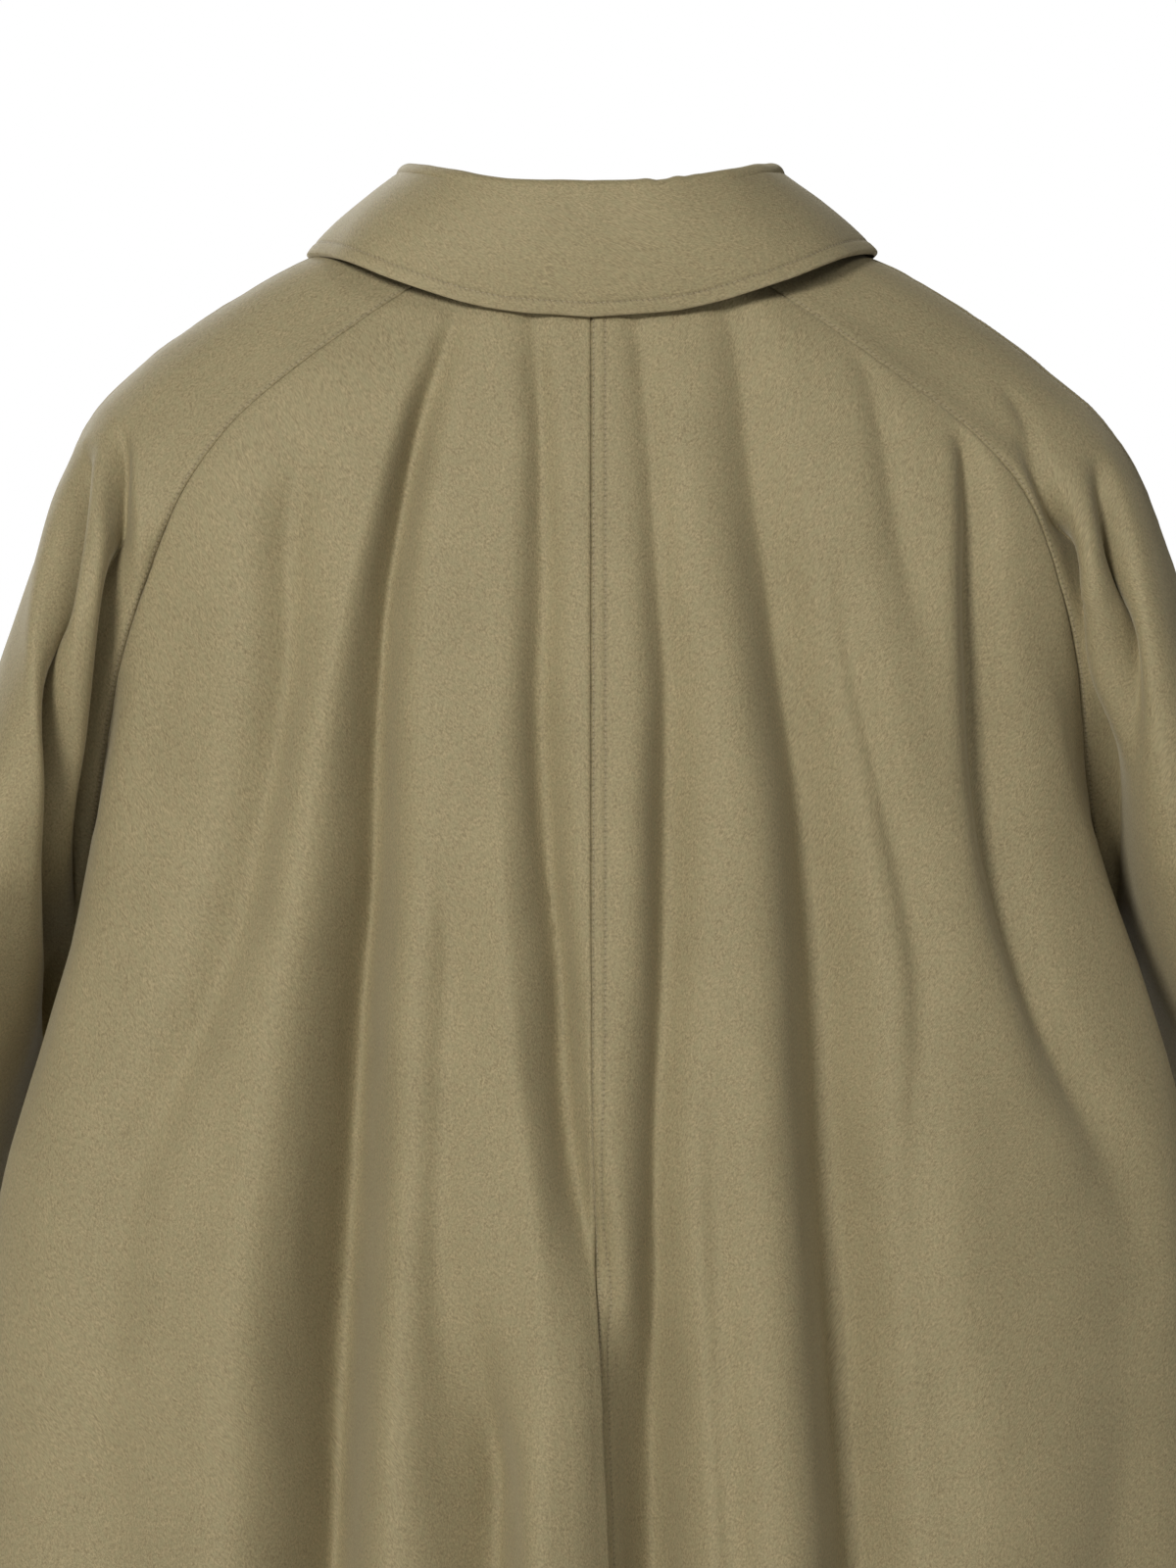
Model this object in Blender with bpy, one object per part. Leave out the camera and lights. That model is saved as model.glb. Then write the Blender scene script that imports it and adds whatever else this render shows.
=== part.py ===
"""A balmacaan coat, filled out and hanging: raglan sleeves, turned-down collar, buttoned front.

The coat faces -Y and its wearer's left is +X. The origin is in the middle of the neck, level with
the centre back of the neck seam. Tables are in millimetres and degrees; meshes are in metres.
Every panel is a wall between an outer and an inner grid of points. Neighbouring panels share the
points of their seam, and each edge is then drawn back a little, so that the pieces never touch.
"""
import math
from collections import namedtuple

import bmesh
import bpy
import numpy as np
from mathutils import Matrix, Vector

MM = 0.001

# Cloth and seams
CLOTH_WALL = 2.0 * MM
COLLAR_WALL = 2.6 * MM
SEAM_SETBACK = 0.16 * MM
LAYER_GAP = 0.45 * MM

# Lengths of the coat
BACK_LENGTH = 1080 * MM
FRONT_OVERLAP = 28 * MM
FRONT_OVERLAP_EASE = 84 * MM
UNDERLAP_FADE_COLUMNS = 4

# Grid of each panel
RAGLAN_ROWS = 12
NECK_ROWS = 4
BODY_ROWS = 14
ARM_ROWS = 9
BACK_COLUMNS = 18
CENTRE_FRONT_COLUMN = 2
FRONT_COLUMNS = 13
SLEEVE_COLUMNS = 14
COLLAR_HALF_STATIONS = 21
CLOSE_POINTS = 61

# The body below and above the arm: half width, and how far back and front reach at the centre
BodySection = namedtuple("BodySection", "z half_width back front side_y")
BODY_SECTIONS = [
    BodySection(z=12, half_width=100, back=69, front=66, side_y=0),
    BodySection(z=0, half_width=120, back=74, front=69, side_y=0),
    BodySection(z=-20, half_width=150, back=82, front=73, side_y=0),
    BodySection(z=-50, half_width=190, back=93, front=78, side_y=0),
    BodySection(z=-75, half_width=215, back=101, front=82, side_y=0),
    BodySection(z=-110, half_width=235, back=111, front=98, side_y=0),
    BodySection(z=-150, half_width=250, back=121, front=113, side_y=0),
    BodySection(z=-210, half_width=260, back=130, front=127, side_y=0),
    BodySection(z=-300, half_width=264, back=135, front=137, side_y=0),
    BodySection(z=-345, half_width=273, back=138, front=140, side_y=0),
    BodySection(z=-395, half_width=287, back=142, front=143, side_y=0),
    BodySection(z=-460, half_width=306, back=147, front=147, side_y=0),
    BodySection(z=-560, half_width=324, back=155, front=153, side_y=1),
    BodySection(z=-720, half_width=343, back=168, front=163, side_y=2),
    BodySection(z=-900, half_width=362, back=182, front=174, side_y=4),
    BodySection(z=-1080, half_width=380, back=196, front=186, side_y=5),
]

# The neck seam, from the centre back round to the centre front
NeckPoint = namedtuple("NeckPoint", "turn x y z")
NECK_SEAM = [
    NeckPoint(turn=0, x=0, y=74, z=0),
    NeckPoint(turn=25, x=38, y=70, z=2),
    NeckPoint(turn=50, x=68, y=52, z=9),
    NeckPoint(turn=75, x=84, y=22, z=18),
    NeckPoint(turn=90, x=88, y=-4, z=22),
    NeckPoint(turn=115, x=84, y=-34, z=8),
    NeckPoint(turn=140, x=66, y=-58, z=-24),
    NeckPoint(turn=160, x=38, y=-75, z=-54),
    NeckPoint(turn=180, x=0, y=-82, z=-75),
]
BACK_RAGLAN_TURN = 47
FRONT_RAGLAN_TURN = 121
SIDE_NECK_TURN = 90

# The raglan seams: station 0 is the neck, station 1 the underarm. The turn is how far the body
# has turned away from the flat of the back or front there.
SeamPoint = namedtuple("SeamPoint", "station x y z turn")
BACK_RAGLAN = [
    SeamPoint(station=0.00, x=64.6, y=54.7, z=7.9, turn=14),
    SeamPoint(station=0.15, x=92, y=64, z=-9, turn=17),
    SeamPoint(station=0.30, x=124, y=71, z=-31, turn=20),
    SeamPoint(station=0.45, x=159, y=77, z=-57, turn=25),
    SeamPoint(station=0.60, x=192, y=81, z=-88, turn=32),
    SeamPoint(station=0.72, x=214, y=81, z=-121, turn=42),
    SeamPoint(station=0.82, x=229, y=75, z=-158, turn=56),
    SeamPoint(station=0.91, x=248, y=54, z=-214, turn=76),
    SeamPoint(station=1.00, x=264, y=0, z=-300, turn=90),
]
FRONT_RAGLAN = [
    SeamPoint(station=0.00, x=80.7, y=-40.1, z=0.8, turn=24),
    SeamPoint(station=0.15, x=98, y=-59, z=-18, turn=24),
    SeamPoint(station=0.30, x=124, y=-74, z=-42, turn=25),
    SeamPoint(station=0.45, x=154, y=-86, z=-70, turn=28),
    SeamPoint(station=0.60, x=182, y=-94, z=-102, turn=33),
    SeamPoint(station=0.72, x=204, y=-96, z=-136, turn=41),
    SeamPoint(station=0.82, x=221, y=-90, z=-172, turn=54),
    SeamPoint(station=0.91, x=245, y=-66, z=-224, turn=75),
    SeamPoint(station=1.00, x=264, y=0, z=-300, turn=90),
]

# The sleeve: its outer line from the neck (station 0) past the underarm (1) to the cuff (2),
# its inner line below the underarm, and how far its back and front bow out
ArmPoint = namedtuple(
    "ArmPoint", "station over_x over_y over_z under_x under_y under_z seam_bow over_bow lean"
)
ARM_LINE = [
    ArmPoint(0.00, 88, -4, 22, 264, 0, -300, 26, 26, 0),
    ArmPoint(0.15, 124, -3, 17, 264, 0, -300, 30, 32, 0),
    ArmPoint(0.30, 160, -2, 4, 264, 0, -300, 32, 38, 0),
    ArmPoint(0.45, 202, -1, -21, 264, 0, -300, 34, 44, 0),
    ArmPoint(0.60, 242, 0, -51, 264, 0, -300, 36, 50, 0),
    ArmPoint(0.72, 270, 0, -84, 264, 0, -300, 38, 58, 0),
    ArmPoint(0.82, 289, -2, -138, 264, 0, -300, 50, 72, 0),
    ArmPoint(0.91, 314, -8, -207, 264, 0, -300, 76, 92, 3),
    ArmPoint(1.00, 345, -16, -304, 264, 0, -300, 104, 110, 6),
    ArmPoint(1.12, 356, -24, -340, 269, -30, -334, 122, 116, 8),
    ArmPoint(1.25, 368, -36, -378, 276, -56, -368, 132, 118, 10),
    ArmPoint(1.50, 392, -62, -462, 296, -92, -446, 126, 112, 12),
    ArmPoint(2.00, 430, -120, -622, 328, -140, -602, 86, 86, 14),
]

# Where the sleeve starts to fold back under the raglan seam, and how it spreads from the underarm
CREASE_START = 0.5
CREASE_LENGTH = 0.26
CREASE_END = 0.72
CREASE_SPREAD = np.array([1.2, 0, 0])
UNDERARM_SPREAD = np.array([0.24, 0, 0])

# How far the inside of the cloth lies inward of and above the underarm point, in walls
UNDERARM_INWARD = 0.6
UNDERARM_UP = 1.3

# How much further out the right side hangs than the left
LeanPoint = namedtuple("LeanPoint", "z out")
RIGHT_LEAN = [
    LeanPoint(z=-50, out=0),
    LeanPoint(z=-75, out=5),
    LeanPoint(z=-110, out=12),
    LeanPoint(z=-160, out=13),
    LeanPoint(z=-210, out=8),
    LeanPoint(z=-260, out=4),
    LeanPoint(z=-310, out=4),
    LeanPoint(z=-360, out=9),
    LeanPoint(z=-430, out=12),
    LeanPoint(z=-520, out=9),
    LeanPoint(z=-700, out=6),
]
LEAN_REACH = 220 * MM

# The overarm seam of the right sleeve is turned to the back by this share of the way round
OVERARM_TURN = {"left": 0.0, "right": 0.07}
OVERARM_TURN_STATION = 0.7

# Drape folds of the body: the path of the trough, its depth, and how wide it is towards the
# wearer's left and right. A negative depth is a ridge.
FoldPoint = namedtuple("FoldPoint", "z x depth left right")
BACK_FOLDS = {
    "left_main": [
        FoldPoint(z=-20, x=78, depth=0, left=14, right=20),
        FoldPoint(z=-57, x=84, depth=3, left=14, right=22),
        FoldPoint(z=-127, x=93, depth=8, left=16, right=28),
        FoldPoint(z=-217, x=104, depth=13, left=20, right=34),
        FoldPoint(z=-317, x=115, depth=15, left=24, right=38),
        FoldPoint(z=-417, x=121, depth=18, left=28, right=42),
        FoldPoint(z=-517, x=130, depth=20, left=32, right=44),
        FoldPoint(z=-657, x=133, depth=23, left=36, right=46),
        FoldPoint(z=-1080, x=146, depth=30, left=42, right=50),
    ],
    "left_inner": [
        FoldPoint(z=-50, x=21, depth=0, left=10, right=16),
        FoldPoint(z=-92, x=21, depth=3, left=10, right=18),
        FoldPoint(z=-217, x=25, depth=5, left=11, right=20),
        FoldPoint(z=-317, x=21, depth=8, left=11, right=20),
        FoldPoint(z=-417, x=16, depth=8, left=13, right=20),
        FoldPoint(z=-490, x=8, depth=6, left=14, right=20),
        FoldPoint(z=-560, x=2, depth=0, left=14, right=20),
    ],
    "right_inner": [
        FoldPoint(z=-235, x=-40, depth=0, left=11, right=22),
        FoldPoint(z=-290, x=-41, depth=5, left=11, right=24),
        FoldPoint(z=-367, x=-39, depth=6, left=12, right=26),
        FoldPoint(z=-467, x=-31, depth=8, left=14, right=30),
        FoldPoint(z=-567, x=-23, depth=12, left=16, right=34),
        FoldPoint(z=-657, x=-16, depth=16, left=18, right=38),
        FoldPoint(z=-1080, x=-12, depth=24, left=30, right=44),
    ],
    "left_lower": [
        FoldPoint(z=-540, x=52, depth=0, left=16, right=12),
        FoldPoint(z=-600, x=48, depth=7, left=18, right=13),
        FoldPoint(z=-657, x=46, depth=11, left=20, right=15),
        FoldPoint(z=-1080, x=58, depth=18, left=26, right=26),
    ],
    "right_main": [
        FoldPoint(z=-20, x=-70, depth=0, left=14, right=22),
        FoldPoint(z=-57, x=-80, depth=4, left=15, right=24),
        FoldPoint(z=-127, x=-86, depth=7, left=17, right=30),
        FoldPoint(z=-217, x=-98, depth=9, left=19, right=34),
        FoldPoint(z=-317, x=-108, depth=11, left=21, right=36),
        FoldPoint(z=-417, x=-117, depth=13, left=23, right=38),
        FoldPoint(z=-617, x=-131, depth=17, left=28, right=40),
        FoldPoint(z=-1080, x=-148, depth=26, left=40, right=46),
    ],
    "right_outer": [
        FoldPoint(z=-130, x=-188, depth=0, left=14, right=16),
        FoldPoint(z=-190, x=-190, depth=5, left=15, right=17),
        FoldPoint(z=-267, x=-200, depth=8, left=17, right=18),
        FoldPoint(z=-350, x=-211, depth=8, left=18, right=20),
        FoldPoint(z=-417, x=-236, depth=6, left=22, right=20),
        FoldPoint(z=-480, x=-256, depth=2, left=26, right=22),
        FoldPoint(z=-700, x=-262, depth=8, left=30, right=30),
        FoldPoint(z=-1080, x=-270, depth=22, left=38, right=36),
    ],
    "left_outer": [
        FoldPoint(z=-110, x=172, depth=0, left=24, right=30),
        FoldPoint(z=-200, x=180, depth=4, left=26, right=34),
        FoldPoint(z=-292, x=194, depth=6, left=28, right=36),
        FoldPoint(z=-392, x=226, depth=5, left=28, right=36),
        FoldPoint(z=-480, x=248, depth=3, left=28, right=36),
        FoldPoint(z=-700, x=256, depth=9, left=32, right=36),
        FoldPoint(z=-1080, x=266, depth=24, left=38, right=40),
    ],
}
FRONT_FOLDS = {
    "left_main": [
        FoldPoint(z=-150, x=104, depth=0, left=20, right=20),
        FoldPoint(z=-260, x=112, depth=6, left=24, right=22),
        FoldPoint(z=-460, x=128, depth=12, left=30, right=26),
        FoldPoint(z=-760, x=140, depth=19, left=36, right=32),
        FoldPoint(z=-1080, x=150, depth=27, left=42, right=38),
    ],
    "right_main": [
        FoldPoint(z=-170, x=-100, depth=0, left=20, right=20),
        FoldPoint(z=-280, x=-108, depth=6, left=22, right=24),
        FoldPoint(z=-460, x=-120, depth=11, left=26, right=30),
        FoldPoint(z=-760, x=-134, depth=18, left=32, right=36),
        FoldPoint(z=-1080, x=-146, depth=26, left=38, right=42),
    ],
    "left_outer": [
        FoldPoint(z=-240, x=196, depth=0, left=20, right=24),
        FoldPoint(z=-340, x=206, depth=5, left=22, right=26),
        FoldPoint(z=-520, x=232, depth=9, left=26, right=30),
        FoldPoint(z=-1080, x=262, depth=22, left=36, right=38),
    ],
    "right_outer": [
        FoldPoint(z=-260, x=-190, depth=0, left=24, right=20),
        FoldPoint(z=-360, x=-204, depth=6, left=26, right=22),
        FoldPoint(z=-540, x=-234, depth=9, left=30, right=26),
        FoldPoint(z=-1080, x=-266, depth=23, left=38, right=36),
    ],
}
# Folds fade out over this share of a panel beside its outer seam
FOLD_FADE = 0.16
FOLD_FADE_ROWS = 3
PLACKET_HALF_WIDTH = 34 * MM
PLACKET_FADE = 30 * MM

# Folds of the sleeves: across is 0 at the raglan or underarm seam and 1 at the overarm seam
SleeveFold = namedtuple("SleeveFold", "station across depth width")
SLEEVE_FOLDS = {
    ("back", "left"): {
        "near_groove": [
            SleeveFold(0.64, 0.52, 0, 0.11),
            SleeveFold(0.74, 0.46, 3, 0.11),
            SleeveFold(0.83, 0.38, 6, 0.10),
            SleeveFold(0.91, 0.28, 7, 0.09),
            SleeveFold(1.00, 0.20, 5, 0.08),
            SleeveFold(1.12, 0.18, 0, 0.08),
        ],
        "far_groove": [
            SleeveFold(0.64, 0.76, 0, 0.09),
            SleeveFold(0.75, 0.72, 3, 0.09),
            SleeveFold(0.83, 0.64, 6, 0.09),
            SleeveFold(0.91, 0.54, 8, 0.09),
            SleeveFold(1.00, 0.44, 9, 0.09),
            SleeveFold(1.25, 0.36, 8, 0.10),
            SleeveFold(1.70, 0.34, 0, 0.10),
        ],
    },
    ("back", "right"): {
        "seam_hollow": [
            SleeveFold(0.60, 0.24, 0, 0.12),
            SleeveFold(0.72, 0.24, 4, 0.12),
            SleeveFold(0.82, 0.22, 5, 0.12),
            SleeveFold(0.92, 0.20, 0, 0.12),
        ],
        "outer_groove": [
            SleeveFold(0.64, 0.66, 0, 0.08),
            SleeveFold(0.76, 0.66, 6, 0.08),
            SleeveFold(0.90, 0.62, 8, 0.09),
            SleeveFold(1.30, 0.58, 8, 0.11),
            SleeveFold(1.80, 0.56, 0, 0.12),
        ],
    },
    ("front", "left"): {
        "elbow_groove": [
            SleeveFold(1.00, 0.44, 0, 0.12),
            SleeveFold(1.20, 0.44, 5, 0.12),
            SleeveFold(1.45, 0.48, 8, 0.13),
            SleeveFold(1.85, 0.50, 0, 0.13),
        ],
    },
    ("front", "right"): {
        "elbow_groove": [
            SleeveFold(1.05, 0.50, 0, 0.12),
            SleeveFold(1.25, 0.48, 6, 0.12),
            SleeveFold(1.50, 0.46, 7, 0.13),
            SleeveFold(1.90, 0.50, 0, 0.13),
        ],
    },
}
SLEEVE_FOLD_FADE = 0.12

# The collar: where the fold and the outer edge of the leaf run, at the same turns as the neck seam
CollarPoint = namedtuple("CollarPoint", "turn fold_x fold_y fold_z edge_x edge_y edge_z")
COLLAR = [
    CollarPoint(0, 0, 86, 41, 0, 96, -28),
    CollarPoint(25, 41, 82, 43, 56, 94, -23),
    CollarPoint(50, 74, 62, 50, 106, 83, -9),
    CollarPoint(75, 93, 26, 56, 142, 47, 6),
    CollarPoint(90, 98, -4, 57, 155, 0, 10),
    CollarPoint(115, 93, -40, 42, 144, -52, -6),
    CollarPoint(140, 72, -68, 8, 116, -88, -47),
    CollarPoint(160, 42, -86, -23, 88, -106, -88),
    CollarPoint(180, 2.2, -95, -46, 60, -122, -126),
]
FOLD_ROLL = 4.2 * MM
LEAF_INSIDE_DROP = 11 * MM
LEAF_BULGE = 3 * MM
ROLL_ANGLES = (-90, -45, 0, 45, 90)
LEAF_SHARES = (0.25, 0.5, 0.75, 1.0)
STAND_COLUMNS = 3
STAND_END_TURN = 178

# Buttons
BUTTON_HEIGHTS = [-98 * MM, -232 * MM, -366 * MM, -500 * MM, -634 * MM]
BUTTON_RADIUS = 11.5 * MM
BUTTON_THICKNESS = 3.4 * MM
BUTTON_RIM = 2.2 * MM
BUTTON_DISH = 0.9 * MM
BUTTON_EDGE = 0.7 * MM
BUTTON_HOLE_RADIUS = 1.1 * MM
BUTTON_HOLE_OFFSET = 2.2 * MM
BUTTON_SIDES = 20
BUTTON_HOLE_SIDES = 6
BUTTON_LIFT = 0.45 * MM

# Colours
CLOTH_COLOUR = (0.300, 0.246, 0.136)
BUTTON_COLOUR = (0.085, 0.058, 0.034)


def column(table, name, unit=MM):
    """One column of a table as an array, in metres unless another unit is given."""
    return np.array([getattr(row, name) for row in table], float) * unit


def smooth(at, places, values):
    """A smooth curve through the values at the places of a table, and level beyond its ends."""
    at = np.clip(np.asarray(at, float), places[0], places[-1])
    step = np.diff(places)
    slope = np.diff(values) / step
    tangent = np.empty(len(values))
    tangent[0], tangent[-1] = slope[0], slope[-1]
    tangent[1:-1] = (slope[:-1] * step[1:] + slope[1:] * step[:-1]) / (step[:-1] + step[1:])
    i = np.clip(np.searchsorted(places, at, side="right") - 1, 0, len(step) - 1)
    t = (at - places[i]) / step[i]
    return (
        (2 * t**3 - 3 * t**2 + 1) * values[i]
        + (t**3 - 2 * t**2 + t) * step[i] * tangent[i]
        + (3 * t**2 - 2 * t**3) * values[i + 1]
        + (t**3 - t**2) * step[i] * tangent[i + 1]
    )


def smoothstep(t):
    """0 below 0, 1 above 1, and a smooth rise between."""
    t = np.clip(t, 0, 1)
    return t * t * (3 - 2 * t)


def unit(vector):
    """Vectors of length 1 in the same directions."""
    return vector / np.maximum(np.linalg.norm(vector, axis=-1, keepdims=True), 1e-12)


def bezier(a, b, c, d, t):
    """Points of a cubic Bezier curve at the shares t."""
    t = np.asarray(t)[:, None]
    return (1 - t) ** 3 * a + 3 * (1 - t) ** 2 * t * b + 3 * (1 - t) * t**2 * c + t**3 * d


def body_size(z, name):
    """A size of the body's section at height z."""
    return smooth(-z, -column(BODY_SECTIONS, "z"), column(BODY_SECTIONS, name))


def neck_point(turn):
    """Points of the neck seam, turned this many degrees from the centre back to the left.

    The seam runs straight between the collar's sections, so panels and collar share one line.
    """
    turns = column(NECK_SEAM, "turn", 1)
    bends = np.linspace(0, 180, COLLAR_HALF_STATIONS)
    past = np.abs(np.atleast_1d(turn).astype(float))
    x, y, z = (np.interp(past, bends, smooth(bends, turns, column(NECK_SEAM, axis))) for axis in "xyz")
    return np.stack([x * np.where(np.atleast_1d(turn) < 0, -1, 1), y, z], axis=-1)


def seam_point(table, station):
    """A point of a raglan seam, and the body's direction across it."""
    stations = column(table, "station", 1)
    point = np.array([float(smooth(station, stations, column(table, axis))) for axis in "xyz"])
    turn = math.radians(float(smooth(station, stations, column(table, "turn", 1))))
    return point, np.array([math.cos(turn), -math.sin(turn), 0.0])


def arm_value(station, name, unit_size=MM):
    """A value of the arm's table at a station."""
    return float(smooth(station, column(ARM_LINE, "station", 1), column(ARM_LINE, name, unit_size)))


def arm_point(station, line):
    """A point of the arm's over or under line."""
    return np.array([arm_value(station, f"{line}_{axis}") for axis in "xyz"])


def stations_above_arm():
    """The stations of the rows from the neck to the underarm."""
    return np.linspace(0, 1, RAGLAN_ROWS)


def body_row(front, station, z, shares):
    """One row of a body panel, from its centre to its outer seam.

    Above the arm the row is found by its station on the raglan seam, and below it by its height.
    """
    facing = -1.0 if front else 1.0
    depth_name = "front" if front else "back"
    if station is None:
        edge = np.array([body_size(z, "half_width"), body_size(z, "side_y"), z])
        along = np.array([0.0, -facing, 0.0])
        centre_z = z
    else:
        table = FRONT_RAGLAN if front else BACK_RAGLAN
        edge, along = seam_point(table, station)
        along = along * np.array([1.0, facing, 1.0])
        first = seam_point(table, 0)[0]
        drop = first[2] - neck_point(180 if front else 0)[0][2]
        centre_z = edge[2] - drop * (1 - station) ** 1.2
    centre = np.array([0.0, facing * body_size(centre_z, depth_name), centre_z])
    gap = abs(centre[1] - edge[1])
    reach = min(gap / max(math.sin(math.acos(min(1.0, along[0]))), 1e-6), 0.85 * edge[0])
    flat = edge[0] - along[0] * reach
    return bezier(centre, centre + np.array([0.6 * flat, 0, 0]), edge - 0.6 * reach * along, edge, shares)


def fold_shift(folds, x, z):
    """How far the folds push the cloth inwards at each x and z."""
    shift = np.zeros_like(x)
    for path in folds.values():
        heights = -column(path, "z")
        inside = (-z >= heights[0]) & (-z <= heights[-1] + 0.01)
        at = np.clip(-z, heights[0], heights[-1])
        off = x - smooth(at, heights, column(path, "x"))
        left = smooth(at, heights, column(path, "left"))
        right = smooth(at, heights, column(path, "right"))
        depth = smooth(at, heights, column(path, "depth"))
        bell = np.exp(-((off / np.where(off > 0, left, right)) ** 2))
        shift += np.where(inside, depth * bell, 0)
    return shift


def body_rows_below():
    """The heights of the rows from just under the arm to the hem."""
    top = seam_point(BACK_RAGLAN, 1)[0][2]
    return top + (-BACK_LENGTH - top) * np.linspace(0, 1, BODY_ROWS)[1:] ** 1.12


def body_grid(front, side):
    """The outer points of a back or front panel, in rows from neck to hem, each from the centre out."""
    columns = FRONT_COLUMNS if front else BACK_COLUMNS
    shares = np.linspace(0, 1, columns)
    rows = [body_row(front, s, None, shares) for s in stations_above_arm()]
    rows += [body_row(front, None, z, shares) for z in body_rows_below()]
    grid = np.array(rows)
    first, last = (180, FRONT_RAGLAN_TURN) if front else (0, BACK_RAGLAN_TURN)
    grid[0] = neck_point(first + (last - first) * shares)
    for r in range(1, NECK_ROWS):
        share = r / NECK_ROWS
        seam = grid[r, -1].copy()
        grid[r] = grid[0] * (1 - share) + grid[NECK_ROWS] * share
        grid[r] += (seam - grid[r, -1]) * shares[:, None]
    if front:
        grid = with_overlap(grid)
    grid = on_side(grid, side)
    flat_out = horizontal_normals(grid, side, front)
    fade = smoothstep((1 - np.linspace(0, 1, columns)) / FOLD_FADE)
    if front:
        fade = np.concatenate([np.zeros(grid.shape[1] - columns), fade])
        off_centre = np.abs(grid[..., 0]) - PLACKET_HALF_WIDTH
        fade = fade * smoothstep(off_centre / PLACKET_FADE)
    top_fade = smoothstep(np.arange(len(grid)) / FOLD_FADE_ROWS)[:, None]
    folds = FRONT_FOLDS if front else BACK_FOLDS
    push = fold_shift(folds, grid[..., 0], grid[..., 2]) * fade * top_fade
    if front and side > 0:
        push = push + underlap_shift(grid) * underlap_fade(grid.shape[1])
    return grid - flat_out * push[..., None]


def on_side(grid, side):
    """The same points on the wearer's left, or mirrored to the right, which hangs further out."""
    if side > 0:
        return grid
    lean = smooth(-grid[..., 2], -column(RIGHT_LEAN, "z"), column(RIGHT_LEAN, "out"))
    moved = grid.copy()
    moved[..., 0] = -grid[..., 0] - lean * smoothstep(grid[..., 0] / LEAN_REACH)
    return moved


def with_overlap(grid):
    """Adds the columns of a front panel that reach past the centre front."""
    past = np.zeros((len(grid), CENTRE_FRONT_COLUMN, 3))
    for i, share in enumerate(np.linspace(1, 0, CENTRE_FRONT_COLUMN, endpoint=False)):
        reach = FRONT_OVERLAP * share
        for r, row in enumerate(grid):
            y, z = (np.interp(reach, row[:, 0], row[:, axis]) for axis in (1, 2))
            past[r, i] = (-reach, y, z)
    return np.concatenate([past, grid], axis=1)


def underlap_shift(grid):
    """How far the left front lies under the right one near the centre."""
    past_edge = (grid[..., 0] - FRONT_OVERLAP) / FRONT_OVERLAP_EASE
    return (CLOTH_WALL + LAYER_GAP) * (1 - smoothstep(past_edge))


def underlap_fade(columns):
    """The underlap's share by column, none at the outer seam."""
    return smoothstep(np.arange(columns - 1, -1, -1) / UNDERLAP_FADE_COLUMNS)


def horizontal_normals(grid, side, front):
    """Level directions out of a body panel, straight back or forward at its centre."""
    across = np.gradient(grid, axis=1)
    level = np.stack([across[..., 1], -across[..., 0], np.zeros(grid.shape[:2])], axis=-1)
    level = unit(level) * (-1 if (side > 0) != front else 1)
    if not front:
        level[:, 0] = (0, 1, 0)
    return level


def sleeve_half_row(front, station):
    """Close points of one row of half a sleeve, from its seam with the body to the top of the arm."""
    facing = -1.0 if front else 1.0
    over = arm_point(station, "over")
    lean = math.radians(arm_value(station, "lean", 1))
    bow = np.array([0.0, facing * math.cos(lean), -facing * math.sin(lean)])
    if station < 1:
        table = FRONT_RAGLAN if front else BACK_RAGLAN
        start, across = seam_point(table, station)
        across = across * np.array([1.0, facing, 1.0])
        step = 0.02
        along = unit(seam_point(table, station + step)[0] - seam_point(table, max(station - step, 0))[0])
        normal = unit(np.cross(across, along))
        straight = over - start
        smooth_way = unit(straight - normal * np.dot(straight, normal))
        crease = smoothstep((station - CREASE_START) / CREASE_LENGTH)
        spread = UNDERARM_SPREAD + CREASE_SPREAD * (1 - smoothstep((station - CREASE_END) / (1 - CREASE_END)))
        leave = unit(smooth_way * (1 - crease) + unit(bow + spread) * crease)
    else:
        start = arm_point(station, "under")
        leave = unit(bow + UNDERARM_SPREAD)
    seam_bow = arm_value(station, "seam_bow")
    over_bow = arm_value(station, "over_bow")
    return bezier(
        start, start + leave * seam_bow, over + bow * over_bow, over, np.linspace(0, 1, CLOSE_POINTS)
    )


def sleeve_stations():
    """The stations of every row of a sleeve."""
    return np.concatenate([stations_above_arm(), np.linspace(1, 2, ARM_ROWS)[1:]])


def sleeve_row(front, side, station):
    """One row of half a sleeve, evenly spaced from its seam with the body to the overarm seam."""
    back, fore = sleeve_half_row(False, station), sleeve_half_row(True, station)
    ring = np.concatenate([back, fore[-2::-1]])
    length = np.concatenate([[0], np.cumsum(np.linalg.norm(np.diff(ring, axis=0), axis=1))])
    turn = OVERARM_TURN["left" if side > 0 else "right"] * smoothstep(station / OVERARM_TURN_STATION)
    seam = length[len(back) - 1] - turn * length[-1]
    ends = (length[-1], seam) if front else (0, seam)
    places = np.linspace(*ends, SLEEVE_COLUMNS)
    return np.stack([np.interp(places, length, ring[:, i]) for i in range(3)], axis=-1)


def sleeve_grid(front, side):
    """The outer points of half a sleeve. Rows run from neck to cuff, columns from seam to overarm seam."""
    shares = np.linspace(0, 1, SLEEVE_COLUMNS)
    stations = sleeve_stations()
    grid = np.array([sleeve_row(front, side, s) for s in stations])
    first = FRONT_RAGLAN_TURN if front else BACK_RAGLAN_TURN
    grid[0] = neck_point(first + (SIDE_NECK_TURN - first) * shares)
    normals = grid_normals(grid) * (-1 if front else 1)
    push = sleeve_fold_shift(front, side, stations, shares)
    return on_side(grid - normals * push[..., None], side)


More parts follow.
